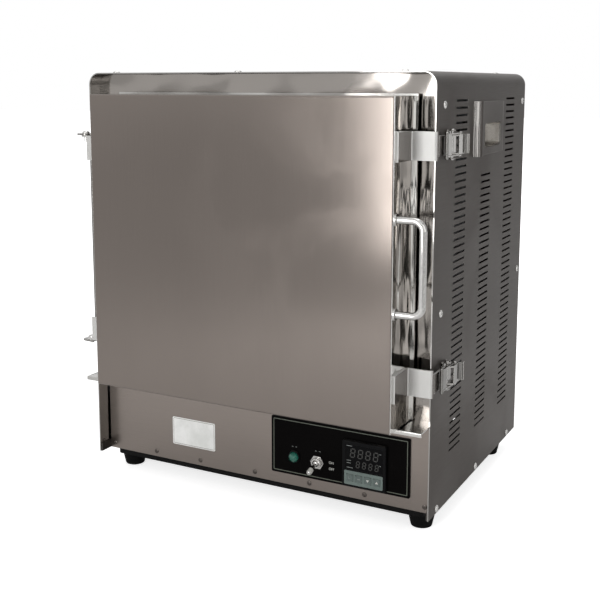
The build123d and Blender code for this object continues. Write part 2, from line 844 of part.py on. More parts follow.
with BuildPart() as keypad_plate:
    with BuildSketch(front_plane(bezel_y)):
        with Locations((controller_x, keypad_z)):
            RectangleRounded(keypad_size[0], keypad_size[1], 1.0)
        with Locations(*[(x, keypad_z) for x in key_xs]):
            Rectangle(key_hole, key_hole, mode=Mode.SUBTRACT)
    extrude(amount=keypad_sheet)
write(keypad_plate, "keypad_plate")

for number, key_x in enumerate(key_xs, start=1):
    with BuildPart() as key:
        with BuildSketch(front_plane(bezel_y - keypad_sheet - key_proud)):
            with Locations((key_x, keypad_z)):
                RectangleRounded(key_size, key_size, 1.2)
        extrude(amount=-(key_height + keypad_sheet + key_proud - 0.1))
        chamfer(key.faces().sort_by(Axis.Y)[0].edges(), 0.3)
    write(key, f"controller_key_{number}")

with BuildPart() as pilot_lamp:
    lamp_plane = Plane(origin=(lamp_x, plate_y, lamp_z), x_dir=(1, 0, 0), z_dir=(0, -1, 0))
    with BuildSketch(lamp_plane):
        Circle(lamp_lens_radius)
    extrude(amount=lamp_lens_height)
    fillet(pilot_lamp.edges().sort_by(Axis.Y)[0], lamp_lens_fillet)
write(pilot_lamp, "pilot_lamp")

with BuildPart() as lamp_holder:
    with BuildSketch(lamp_plane):
        Circle(lamp_body_radius)
    extrude(amount=-lamp_body_length)
    with BuildSketch(front_plane(panel_back_y)):
        with Locations((lamp_x, lamp_z)):
            Circle(lamp_body_radius + lamp_nut_overhang)
    extrude(amount=-lamp_nut_height)
write(lamp_holder, "lamp_holder")

with BuildPart() as toggle_switch:
    switch_plane = Plane(origin=(switch_x, plate_y, switch_z), x_dir=(1, 0, 0), z_dir=(0, -1, 0))
    with BuildSketch(switch_plane):
        Circle(switch_neck_radius)
        Circle(switch_bore_radius, mode=Mode.SUBTRACT)
    extrude(amount=switch_neck_length)
    chamfer(toggle_switch.edges().group_by(Axis.Y)[0].sort_by(SortBy.LENGTH)[-1], 0.6)
    with BuildSketch(switch_plane):
        Circle(switch_neck_radius)
    extrude(amount=-(plate_sheet + panel_wall))
    with BuildSketch(front_plane(panel_back_y)):
        with Locations((switch_x, switch_z)):
            Rectangle(switch_body_size[0], switch_body_size[1])
    extrude(amount=-switch_body_size[2])
    with BuildSketch(side_plane(switch_x)):
        with Locations((switch_pivot_y, switch_z)):
            Circle(switch_pin_radius + running_fit)
    extrude(amount=switch_neck_radius, both=True, mode=Mode.SUBTRACT)
write(toggle_switch, "toggle_switch")

with BuildPart() as switch_nut:
    with BuildSketch(switch_plane):
        RegularPolygon(switch_nut_radius, 6)
        Circle(switch_neck_radius + running_fit, mode=Mode.SUBTRACT)
    extrude(amount=switch_nut_height)
write(switch_nut, "switch_nut")

with BuildPart() as switch_lever:
    lever_plane = Plane(origin=(switch_x, switch_pivot_y, switch_z), x_dir=(1, 0, 0), z_dir=(0, -1, 0))
    lever_plane = lever_plane.rotated((lever_rest_angle, 0, 0))
    with BuildSketch(lever_plane):
        Circle(lever_root_radius)
    with BuildSketch(lever_plane.offset(lever_length)):
        Circle(lever_tip_radius)
    loft()
    fillet(switch_lever.edges().filter_by(GeomType.CIRCLE).sort_by(Axis.Y)[0], lever_tip_fillet)
    with Locations(lever_plane.location):
        Sphere(switch_bore_radius - running_fit)
    with BuildSketch(side_plane(switch_x)):
        with Locations((switch_pivot_y, switch_z)):
            Circle(switch_pin_radius)
    extrude(amount=switch_pin_half, both=True)
write(switch_lever, "switch_lever")

# ---------------------------------------------------------------- cabinet: hinge bracket and pins
ear_top = hinge_top_z + hinge_gap + hinge_sheet
ear_low = hinge_low_z - hinge_gap - hinge_sheet


def hinge_ear(z_low, root_radius, reach, end_radius):
    """Sketch of an ear round the pin, reaching outward to a rounded end."""
    with BuildSketch(level_plane(z_low)) as ear:
        with Locations((hinge_x, hinge_y)):
            Circle(root_radius)
        with Locations((hinge_x - reach, hinge_y)):
            Circle(end_radius)
        make_hull()
    return ear.sketch


with BuildPart() as hinge_bracket:
    strip_outer = -half_width - hinge_sheet
    with BuildSketch(side_plane(-half_width)):
        patch(front_y, front_y + bracket_depth, ear_low, ear_top)
    extrude(amount=-hinge_sheet)
    for ear_z in (ear_low, ear_top - hinge_sheet):
        add(hinge_ear(ear_z, bracket_ear_radius, bracket_ear_reach, bracket_ear_end))
        extrude(amount=hinge_sheet)
        with BuildSketch(level_plane(ear_z)):
            patch(hinge_x, -half_width, front_y, front_y + bracket_ear_radius)
        extrude(amount=hinge_sheet)
    with BuildSketch(level_plane(ear_low)):
        with Locations((hinge_x, hinge_y)):
            Circle(hinge_pin_radius + running_fit)
    extrude(amount=ear_top - ear_low, mode=Mode.SUBTRACT)
write(hinge_bracket, "hinge_bracket")


with BuildPart() as hinge_pins:
    for head_z, tail_z in (
        (hinge_low_z + hinge_sheet, ear_low - hinge_sheet),
        (ear_top, hinge_top_z - hinge_sheet - hinge_pin_tail),
    ):
        with BuildSketch(level_plane(tail_z)):
            with Locations((hinge_x, hinge_y)):
                Circle(hinge_pin_radius)
        extrude(amount=head_z - tail_z)
        with BuildSketch(level_plane(head_z)):
            with Locations((hinge_x, hinge_y)):
                Circle(hinge_head_radius)
        extrude(amount=hinge_head_height)
        fillet(hinge_pins.edges().group_by(Axis.Z)[-1], hinge_head_height * 0.85)
write(hinge_pins, "hinge_pins")


# ---------------------------------------------------------------- toggle latches
def latch_point(place):
    """Level place of a latch point given as (u, v)."""
    return (half_width + place[0], front_y + place[1])


def latch_base(level):
    """Base plate riveted to the cover, with two ears that hold the lever's pivot pin."""
    with BuildPart() as base:
        with BuildSketch(side_plane(half_width)):
            patch(
                front_y + latch_base_v[0],
                front_y + latch_base_v[1],
                level - latch_base_half,
                level + latch_base_half,
                corner=1.5,
            )
            patch(
                front_y + latch_ear_v[0],
                front_y + latch_ear_v[1],
                level - latch_ear_half,
                level + latch_ear_half,
            )
        extrude(amount=latch_sheet)
        for ear_z in (level + latch_ear_half - latch_sheet, level - latch_ear_half):
            with BuildSketch(level_plane(ear_z)):
                with Locations(latch_point(latch_pivot)):
                    Circle(latch_ear_radius)
                patch(
                    half_width,
                    half_width + latch_pivot[0],
                    front_y + latch_pivot[1] - latch_ear_radius,
                    front_y + latch_pivot[1] + latch_ear_radius,
                )
            extrude(amount=latch_sheet)
        with BuildSketch(level_plane(level - latch_ear_half)):
            with Locations(latch_point(latch_pivot)):
                Circle(latch_pivot_radius + running_fit)
        extrude(amount=2 * latch_ear_half, mode=Mode.SUBTRACT)
    return base


def headed_pins(place, radius, levels, half_length):
    """Upright pins through the latches at the given levels, with a low head at each end."""
    with BuildPart() as pins:
        for level in levels:
            with BuildSketch(level_plane(level - half_length)):
                with Locations(latch_point(place)):
                    Circle(radius)
            extrude(amount=2 * half_length)
            for head_z, way in ((level + half_length, 1), (level - half_length, -1)):
                with BuildSketch(level_plane(head_z)):
                    with Locations(latch_point(place)):
                        Circle(radius + rivet_head_overhang)
                extrude(amount=way * rivet_head_height)
    return pins


def latch_lever(level):
    """Lever: two cheeks on the pivot pin, a web between them and a tail that curls out."""
    web_u = lever_web_u + lever_sheet / 2
    web_start = latch_point((web_u, lever_web_start + lever_sheet / 2))
    web_end = latch_point((web_u, lever_web_end))
    with BuildPart() as lever:
        for cheek_z in (level + lever_half - latch_sheet, level - lever_half):
            with BuildSketch(level_plane(cheek_z)):
                with Locations(latch_point(latch_pivot)):
                    Circle(lever_pivot_boss)
                with Locations(latch_point(latch_joint)):
                    Circle(lever_joint_boss)
                with Locations(web_start, web_end):
                    Circle(lever_sheet / 2)
                make_hull()
            extrude(amount=latch_sheet)
        with BuildSketch(level_plane(level - lever_half)):
            with BuildLine():
                Line(web_start, web_end)
                TangentArc(web_end, latch_point(lever_tail), tangent=(0, 1))
            trace(line_width=lever_sheet)
        extrude(amount=2 * lever_half)
        with BuildSketch(level_plane(level - lever_half)):
            with Locations(latch_point(latch_pivot)):
                Circle(latch_pivot_radius + running_fit)
            with Locations(latch_point(latch_joint)):
                Circle(latch_joint_radius)
        extrude(amount=2 * lever_half, mode=Mode.SUBTRACT)
    return lever


def latch_bail(level):
    """Bail: a round cross-bar that catches the door's tongue, a web behind it and two legs to the lever."""
    with BuildPart() as bail:
        with BuildSketch(level_plane(level - latch_bar_half)):
            with Locations(latch_point(latch_bar)):
                Circle(latch_bar_radius)
        extrude(amount=2 * latch_bar_half)
        chamfer(bail.edges().filter_by(GeomType.CIRCLE), latch_bar_radius * 0.5)
        for leg_z in (level + bail_inner_half, level - bail_inner_half - latch_sheet):
            with BuildSketch(level_plane(leg_z)):
                with BuildLine():
                    Line(latch_point(latch_bar), latch_point(latch_joint))
                trace(line_width=bail_wire)
                with Locations(latch_point(latch_joint)):
                    Circle(bail_eye_radius)
            extrude(amount=latch_sheet)
        bar_to_joint = Vector(*latch_joint) - Vector(*latch_bar)
        web_share = (bail_web_end - latch_bar[1]) / bar_to_joint.Y
        web_end_u = latch_bar[0] + web_share * bar_to_joint.X
        with BuildSketch(level_plane(level - bail_inner_half)):
            with BuildLine():
                Line(latch_point(latch_bar), latch_point((web_end_u, bail_web_end)))
            trace(line_width=bail_web_sheet)
        extrude(amount=2 * bail_inner_half)
        with BuildSketch(level_plane(level - latch_bar_half)):
            with Locations(latch_point(latch_joint)):
                Circle(latch_joint_radius + running_fit)
        extrude(amount=2 * latch_bar_half, mode=Mode.SUBTRACT)
    return bail


def latch_strap(level):
    """Door strap: riveted along the door's side, bent out past the cover's edge and back to a tongue."""
    foot_face = door_right + strap_sheet / 2
    front_line = front_y - strap_front_gap - strap_sheet / 2
    tongue_line = half_width + strap_side_gap + strap_sheet / 2
    tongue_tip = front_y + tongue_length
    with BuildPart() as strap:
        with BuildSketch(level_plane(level - strap_height / 2)):
            with BuildLine():
                FilletPolyline(
                    (foot_face, front_line - strap_foot_length),
                    (foot_face, front_line),
                    (tongue_line, front_line),
                    (tongue_line, tongue_tip),
                    radius=strap_bend,
                )
            trace(line_width=strap_sheet)
        extrude(amount=strap_height)
        for low, high in ((-strap_height / 2, -tongue_height / 2), (tongue_height / 2, strap_height / 2)):
            with BuildSketch(level_plane(level + low)):
                patch(
                    half_width,
                    tongue_line + strap_height,
                    front_y - strap_front_gap + tongue_neck,
                    tongue_tip + strap_height,
                )
            extrude(amount=high - low, mode=Mode.SUBTRACT)
        with BuildSketch(level_plane(level - tongue_height / 2)):
            with Locations((tongue_line + strap_sheet / 2 - tongue_bead, tongue_tip - 2 * tongue_bead)):
                Circle(tongue_bead + tongue_lip)
        extrude(amount=tongue_height)
    return strap


def hinge_arm(ear_z, arm_low):
    """Door arm: runs along the door's side, turns out past the cover's edge and ends in an ear on the pin."""
    foot_face = door_left - strap_sheet / 2
    front_line = hinge_y - strap_front_gap - strap_sheet / 2
    plate_end = hinge_x + hinge_head_radius + hinge_gap
    with BuildPart() as arm:
        with BuildSketch(level_plane(arm_low)):
            with BuildLine():
                FilletPolyline(
                    (foot_face, front_line - strap_foot_length),
                    (foot_face, front_line),
                    (plate_end, front_line),
                    radius=strap_bend,
                )
            trace(line_width=strap_sheet)
        extrude(amount=strap_height)
        add(hinge_ear(ear_z, arm_ear_radius, arm_ear_reach, arm_ear_end))
        extrude(amount=hinge_sheet)
        with BuildSketch(level_plane(ear_z)):
            patch(
                hinge_x - arm_ear_reach,
                plate_end + arm_tab,
                front_line - strap_sheet / 2,
                hinge_y - arm_ear_front_gap,
            )
        extrude(amount=hinge_sheet)
        with BuildSketch(level_plane(ear_z)):
            with Locations((hinge_x, hinge_y)):
                Circle(hinge_pin_radius + running_fit)
        extrude(amount=hinge_sheet, mode=Mode.SUBTRACT)
    return arm


for name, level in zip(("upper", "lower"), strap_levels):
    write(latch_base(level), f"latch_base_{name}")
    write(latch_lever(level), f"latch_lever_{name}")
    bail_half = bail_inner_half + latch_sheet
    write(headed_pins(latch_joint, latch_joint_radius, [level], bail_half), f"bail_pin_{name}")
    write(latch_bail(level), f"latch_bail_{name}")
    write(latch_strap(level), f"latch_strap_{name}")

write(headed_pins(latch_pivot, latch_pivot_radius, strap_levels, latch_ear_half), "latch_pivot_pins")
write(hinge_arm(hinge_top_z - hinge_sheet, hinge_top_z - strap_height), "hinge_arm_upper")
write(hinge_arm(hinge_low_z, hinge_low_z), "hinge_arm_lower")

# ---------------------------------------------------------------- door
with BuildPart() as door_shell:
    with BuildSketch(front_plane(door_front_y)):
        patch(door_left, door_right, door_bottom, door_top)
    extrude(amount=-(door_plate_y - door_front_y))
    offset(amount=-door_wall, openings=door_shell.faces().sort_by(Axis.Y)[-1])
    fillet(door_shell.faces().sort_by(Axis.Y)[0].edges(), door_bend * 0.9)
write(door_shell, "door_shell")

plug_base_half_x = mouth_half_width - plug_play
plug_base_half_z = mouth_half_height - plug_play
with BuildPart() as door_back_plate:
    with BuildSketch(front_plane(door_plate_y)):
        patch(
            door_left - door_back_overhang,
            door_right + door_back_overhang,
            door_bottom - door_back_underhang,
            door_top + door_back_overhang,
        )
        with Locations((0, chamber_z)):
            Rectangle(2 * plug_base_half_x + 1, 2 * plug_base_half_z + 1, mode=Mode.SUBTRACT)
    extrude(amount=-door_back_wall)
write(door_back_plate, "door_back_plate")

with BuildPart() as door_insulation:
    with BuildSketch(front_plane(door_front_y + door_wall)):
        patch(door_left + door_wall, door_right - door_wall, door_bottom + door_wall, door_top - door_wall)
    extrude(amount=-(door_plate_y - door_front_y - door_wall))
    with BuildSketch(front_plane(door_plate_y)):
        with Locations((0, chamber_z)):
            Rectangle(2 * plug_base_half_x, 2 * plug_base_half_z)
    plug_length = panel_y + plug_depth - door_plate_y
    extrude(amount=-plug_length, taper=plug_taper)
write(door_insulation, "door_insulation")

with BuildPart() as door_handle:
    grip_x = door_right + handle_stand_off
    with BuildLine() as handle_path:
        FilletPolyline(
            (door_right, handle_y, handle_z - handle_spacing / 2),
            (grip_x, handle_y, handle_z - handle_spacing / 2),
            (grip_x, handle_y, handle_z + handle_spacing / 2),
            (door_right, handle_y, handle_z + handle_spacing / 2),
            radius=handle_bend,
        )
    with BuildSketch(side_plane(door_right)):
        with Locations((handle_y, handle_z - handle_spacing / 2)):
            Circle(handle_radius)
    sweep()
write(door_handle, "door_handle")

with BuildPart() as handle_collars:
    with BuildSketch(side_plane(door_right)):
        with Locations((handle_y, handle_z)):
            with GridLocations(1.0, handle_spacing, 1, 2):
                Circle(handle_radius + collar_overhang)
                Circle(handle_radius + running_fit, mode=Mode.SUBTRACT)
    extrude(amount=collar_height)
write(handle_collars, "handle_collars")


# ---------------------------------------------------------------- screws
def dome_screws(planes, radius, height):
    """Low domed screw heads seated on the given planes."""
    with BuildPart() as heads:
        for plane in planes:
            with BuildSketch(plane):
                Circle(radius)
            extrude(amount=height, taper=screw_taper)
    return heads


cover_screw_planes = []
for screw_x in top_screw_x:
    for screw_y in (front_y + top_screw_from_front, rear_y - top_screw_from_front):
        cover_screw_planes.append(Plane(origin=(screw_x, screw_y, cover_top), z_dir=(0, 0, 1)))
side_screw_places = [(front_y + screw_from_front, cover_bottom + screw_from_bottom)]
for below in side_screws_below_top:
    side_screw_places.append((front_y + screw_from_front, cover_top - below))
    side_screw_places.append((rear_y - screw_from_rear, cover_top - below))
for depth in low_screw_depths:
    side_screw_places.append((front_y + depth, cover_bottom + screw_from_bottom))
for side in (-1, 1):
    for screw_y, screw_z in side_screw_places:
        cover_screw_planes.append(Plane(origin=(side * half_width, screw_y, screw_z), z_dir=(side, 0, 0)))
write(dome_screws(cover_screw_planes, screw_head_radius, screw_head_height), "cover_screws")

panel_screw_planes = []
for from_right in panel_screws_from_right:
    place = (half_width - from_right, panel_y, cover_bottom + panel_screw_from_bottom)
    panel_screw_planes.append(Plane(origin=place, x_dir=(1, 0, 0), z_dir=(0, -1, 0)))
write(dome_screws(panel_screw_planes, panel_screw_radius, panel_screw_height), "panel_screws")
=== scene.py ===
"""Finishes, small fittings, lights and camera for a bench-top muffle furnace."""

from __future__ import annotations

import json
import logging
import math
from dataclasses import dataclass
from enum import Enum
from typing import Iterable, Sequence

import bmesh
import bpy
from mathutils import Matrix, Vector


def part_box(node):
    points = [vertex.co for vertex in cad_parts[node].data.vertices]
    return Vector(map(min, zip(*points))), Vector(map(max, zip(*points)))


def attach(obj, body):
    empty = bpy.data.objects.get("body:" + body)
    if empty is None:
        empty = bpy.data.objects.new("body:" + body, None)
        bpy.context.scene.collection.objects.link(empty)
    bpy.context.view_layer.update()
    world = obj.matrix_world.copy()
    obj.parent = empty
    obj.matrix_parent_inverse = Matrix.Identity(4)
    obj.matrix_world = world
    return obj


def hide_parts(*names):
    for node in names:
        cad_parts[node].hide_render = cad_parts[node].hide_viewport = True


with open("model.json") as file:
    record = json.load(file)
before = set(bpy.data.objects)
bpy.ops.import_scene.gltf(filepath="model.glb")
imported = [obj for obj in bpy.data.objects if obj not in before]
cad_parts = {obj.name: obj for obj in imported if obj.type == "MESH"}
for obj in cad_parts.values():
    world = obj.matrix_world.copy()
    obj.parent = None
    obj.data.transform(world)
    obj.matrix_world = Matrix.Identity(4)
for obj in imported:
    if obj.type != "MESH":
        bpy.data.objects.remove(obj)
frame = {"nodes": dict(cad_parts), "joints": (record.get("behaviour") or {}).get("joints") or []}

MM = 0.001
FULL_TURN = 2.0 * math.pi
WHITE = (1.0, 1.0, 1.0, 1.0)
NOISE_RANGE = (0.3, 0.7)  # where nearly all of a noise's values lie

Colour = tuple[float, float, float]
Outline = Sequence[tuple[float, float]]
Shape = bmesh.types.BMesh
Material, Mesh, Object = bpy.types.Material, bpy.types.Mesh, bpy.types.Object
Node, NodeTree, Socket = bpy.types.Node, bpy.types.NodeTree, bpy.types.NodeSocket

log = logging.getLogger("furnace")


class Grain(Enum):
    """Direction in which a steel sheet was brushed."""

    ALONG_X = (3.0, 260.0, 260.0)
    ALONG_Y = (260.0, 3.0, 260.0)
    ALONG_Z = (260.0, 260.0, 3.0)


class Polish(Enum):
    """Faces of a sheet that keep the mill's mirror polish, and get a colour painted lighter or darker for the
    light they catch.
    """

    SIDES = "Sides"
    INSIDE = "Inside"
    FRONT = "Front"


# ---------------------------------------------------------------- shader writing
class Graph:
    """Writes nodes and links into one shader or geometry tree."""

    def __init__(self, tree: NodeTree) -> None:
        """Keep the tree that is written.

        Args:
            tree: The node tree.
        """
        self.tree = tree

    def node(self, kind: str, **settings: object) -> Node:
        """Add a node and set its plain properties.

        Args:
            kind: The node's type name in Blender.
            settings: Properties of the node.

        Returns:
            The new node.
        """
        made = self.tree.nodes.new(kind)
        for name, value in settings.items():
            setattr(made, name, value)
        return made

    def feed(self, node: Node, socket: str | int, value: object) -> None:
        """Give a node's input a number, a colour or another node's output.

        Args:
            node: The node that is fed.
            socket: The input's name or place.
            value: A constant, or the output socket that is linked to it.
        """
        if isinstance(value, Socket):
            self.tree.links.new(value, node.inputs[socket])
        else:
            node.inputs[socket].default_value = value

    def math(
        self, operation: str, first: object, second: object = 0.0, clamp: bool = False
    ) -> Socket:
        """One Math node.

        Args:
            operation: The node's operation.
            first: First operand.
            second: Second operand.
            clamp: Whether the result is held between 0 and 1.

        Returns:
            The result's socket.
        """
        made = self.node("ShaderNodeMath", operation=operation, use_clamp=clamp)
        self.feed(made, 0, first)
        self.feed(made, 1, second)
        return made.outputs[0]

    def span(
        self, value: object, low: float, high: float, to_low: float = 0.0, to_high: float = 1.0
    ) -> Socket:
        """Map a value smoothly from one range to another, held at the ends.

        Args:
            value: The value's socket.
            low: Start of its range.
            high: End of its range.
            to_low: Result at the start.
            to_high: Result at the end.

        Returns:
            The mapped value's socket.
        """
        made = self.node("ShaderNodeMapRange", interpolation_type="SMOOTHSTEP")
        for place, item in enumerate((value, low, high, to_low, to_high)):
            self.feed(made, place, item)
        return made.outputs[0]

    def blend(self, share: object, first: object, second: object) -> Socket:
        """Blend two colours.

        Args:
            share: How much of the second colour shows.
            first: First colour.
            second: Second colour.

        Returns:
            The blended colour's socket.
        """
        made = self.node("ShaderNodeMix", data_type="RGBA")
        self.feed(made, 0, share)
        self.feed(made, 6, first)
        self.feed(made, 7, second)
        return made.outputs[2]

    def noise(
        self, place: object, scale: float, detail: float = 3.0, roughness: float = 0.55
    ) -> Socket:
        """One noise texture.

        Args:
            place: Coordinates.
            scale: Cells per metre.
            detail: Octaves.
            roughness: Weight of the finer octaves.

        Returns:
            The noise value's socket.
        """
        made = self.node("ShaderNodeTexNoise")
        self.feed(made, "Vector", place)
        self.feed(made, "Scale", scale)
        self.feed(made, "Detail", detail)
        self.feed(made, "Roughness", roughness)
        return made.outputs["Fac"]


def new_group(
    name: str, inputs: Sequence[tuple[str, str, object]], outputs: Sequence[tuple[str, str]]
) -> tuple[Graph, Node, Node]:
    """Start a shader node group with named sockets.

    Args:
        name: The group's name.
        inputs: Name, socket type and default of each input.
        outputs: Name and socket type of each output.

    Returns:
        The group's graph, its input node and its output node.
    """
    tree = bpy.data.node_groups.new(name, "ShaderNodeTree")
    for label, kind, default in inputs:
        socket = tree.interface.new_socket(label, in_out="INPUT", socket_type=kind)
        socket.default_value = default
    for label, kind in outputs:
        tree.interface.new_socket(label, in_out="OUTPUT", socket_type=kind)
    graph = Graph(tree)
    return graph, graph.node("NodeGroupInput"), graph.node("NodeGroupOutput")


class Effects:
    """Node groups that several finishes share."""

    def __init__(self) -> None:
        """Build each group once."""
        self.brushing = self._brushing()
        self.handling = self._handling()
        self.edges = self._edges()
        self.dust = self._dust()
        self.speckle = self._speckle()
        self.facing = self._facing()

    def _brushing(self) -> NodeTree:
        """Fine lines of a brushed sheet, and broad cloudy bands along them."""
        graph, given, out = new_group(
            "brushed_lines",
            (("Stretch", "NodeSocketVector", (260.0, 260.0, 3.0)), ("Bands", "NodeSocketFloat", 0.03)),
            (("Lines", "NodeSocketFloat"), ("Bands", "NodeSocketFloat")),
        )
        place = graph.node("ShaderNodeTexCoord").outputs["Object"]
        stretched = graph.node("ShaderNodeVectorMath", operation="MULTIPLY")
        graph.feed(stretched, 0, place)
        graph.feed(stretched, 1, given.outputs["Stretch"])
        lines = graph.noise(stretched.outputs[0], 9.0, 5.0, 0.7)
        broad = graph.node("ShaderNodeVectorMath", operation="SCALE")
        graph.feed(broad, 0, stretched.outputs[0])
        graph.feed(broad, "Scale", given.outputs["Bands"])
        bands = graph.noise(broad.outputs[0], 1.0, 2.0, 0.5)
        graph.feed(out, "Lines", lines)
        graph.feed(out, "Bands", bands)
        return graph.tree

    def _handling(self) -> NodeTree:
        """Smears and fingermarks: a low, patchy mask."""
        graph, given, out = new_group(
            "handling_marks",
            (("Scale", "NodeSocketFloat", 9.0),),
            (("Mask", "NodeSocketFloat"),),
        )
        place = graph.node("ShaderNodeTexCoord").outputs["Object"]
        first = graph.node("ShaderNodeTexNoise")
        graph.feed(first, "Vector", place)
        graph.feed(first, "Scale", given.outputs["Scale"])
        graph.feed(first, "Detail", 4.0)
        graph.feed(first, "Distortion", 0.8)
        graph.feed(out, "Mask", graph.span(first.outputs["Fac"], 0.42, 0.68))
        return graph.tree

    def _edges(self) -> NodeTree:
        """Rounded-looking edges: a softened normal and a mask along sharp corners, where the finishes paint a
        highlight.
        """
        graph, given, out = new_group(
            "edge_rounding",
            (("Radius", "NodeSocketFloat", 0.0004),),
            (("Mask", "NodeSocketFloat"), ("Normal", "NodeSocketVector")),
        )
        rounding = graph.node("ShaderNodeBevel", samples=4)
        graph.feed(rounding, "Radius", given.outputs["Radius"])
        facing = graph.node("ShaderNodeNewGeometry").outputs["Normal"]
        dot = graph.node("ShaderNodeVectorMath", operation="DOT_PRODUCT")
        graph.feed(dot, 0, rounding.outputs["Normal"])
        graph.feed(dot, 1, facing)
        turned = graph.math("SUBTRACT", 1.0, dot.outputs["Value"])
        graph.feed(out, "Mask", graph.span(turned, 0.02, 0.22))
        graph.feed(out, "Normal", rounding.outputs["Normal"])
        return graph.tree

    def _dust(self) -> NodeTree:
        """Settled dust: a mask that grows on faces that look upward."""
        graph, given, out = new_group(
            "settled_dust",
            (("Amount", "NodeSocketFloat", 0.3),),
            (("Mask", "NodeSocketFloat"),),
        )
        facing = graph.node("ShaderNodeSeparateXYZ")
        graph.feed(facing, 0, graph.node("ShaderNodeNewGeometry").outputs["Normal"])
        upward = graph.span(facing.outputs["Z"], 0.55, 1.0)
        place = graph.node("ShaderNodeTexCoord").outputs["Object"]
        patches = graph.span(graph.noise(place, 40.0, 6.0, 0.7), 0.35, 0.75, 0.15, 1.0)
        settled = graph.math("MULTIPLY", upward, patches)
        graph.feed(out, "Mask", graph.math("MULTIPLY", settled, given.outputs["Amount"]))
        return graph.tree

    def _facing(self) -> NodeTree:
        """Masks of the faces turned to the sides, into the cabinet and to the front."""
        masks = tuple((side.value, "NodeSocketFloat") for side in Polish)
        graph, _, out = new_group("face_directions", (), masks)
        coordinates = graph.node("ShaderNodeTexCoord")
        facing = graph.node("ShaderNodeSeparateXYZ")
        place = graph.node("ShaderNodeSeparateXYZ")
        graph.feed(facing, 0, coordinates.outputs["Normal"])
        graph.feed(place, 0, coordinates.outputs["Object"])
        sideways = graph.math("ABSOLUTE", facing.outputs["X"])
        outward_x = graph.math("MULTIPLY", facing.outputs["X"], graph.math("SIGN", place.outputs["X"]))
        graph.feed(out, "Sides", graph.span(sideways, 0.6, 0.9))
        graph.feed(out, "Inside", graph.span(outward_x, -0.9, -0.6, 1.0, 0.0))
        graph.feed(out, "Front", graph.span(facing.outputs["Y"], -0.6, -0.25, 1.0, 0.0))
        return graph.tree

    def _speckle(self) -> NodeTree:
        """Fine height of moulded, painted or cast surfaces, with a coarser mottle beside it."""
        graph, given, out = new_group(
            "surface_texture",
            (("Scale", "NodeSocketFloat", 900.0),),
            (("Fine", "NodeSocketFloat"), ("Mottle", "NodeSocketFloat")),
        )
        place = graph.node("ShaderNodeTexCoord").outputs["Object"]
        cells = graph.node("ShaderNodeTexNoise")
        graph.feed(cells, "Vector", place)
        graph.feed(cells, "Scale", given.outputs["Scale"])
        graph.feed(cells, "Detail", 2.0)
        graph.feed(out, "Fine", cells.outputs["Fac"])
        graph.feed(out, "Mottle", graph.noise(place, 28.0, 5.0, 0.65))
        return graph.tree


EFFECTS = Effects()


class Surface:
    """A material under construction: its graph and its shader node."""

    def __init__(self, name: str) -> None:
        """Start the material.

        Args:
            name: The material's name.
        """
        self.material = bpy.data.materials.new(name)
        self.material.use_nodes = True
        self.graph = Graph(self.material.node_tree)
        self.shader = self.material.node_tree.nodes["Principled BSDF"]

    def effect(self, tree: NodeTree, **values: object) -> Node:
        """Place one of the shared effects.

        Args:
            tree: The effect's group.
            values: Its inputs by name.

        Returns:
            The group node.
        """
        made = self.graph.node("ShaderNodeGroup", node_tree=tree)
        for name, value in values.items():
            self.graph.feed(made, name, value)
        return made

    def relief(
        self, height: object, distance: float, strength: object, normal: object = None
    ) -> Socket:
        """A Bump node.

        Args:
            height: The height's socket.
            distance: Height of the relief in metres.
            strength: Share of it that shows.
            normal: Normal that it starts from.

        Returns:
            The bent normal's socket.
        """
        bump = self.graph.node("ShaderNodeBump")
        self.graph.feed(bump, "Height", height)
        self.graph.feed(bump, "Distance", distance)
        self.graph.feed(bump, "Strength", strength)
        if normal is not None:
            self.graph.feed(bump, "Normal", normal)
        return bump.outputs["Normal"]

    def set(self, **sockets: object) -> None:
        """Feed the shader's sockets, with underscores for the spaces in their names."""
        for name, value in sockets.items():
            self.graph.feed(self.shader, name.replace("_", " "), value)


def shade(colour: Colour, factor: float = 1.0) -> tuple[float, ...]:
    """A colour made darker or lighter.

    Args:
        colour: Red, green and blue.
        factor: What each is multiplied by.

    Returns:
        The colour with an alpha of 1.
    """
    return (*(min(1.0, channel * factor) for channel in colour), 1.0)


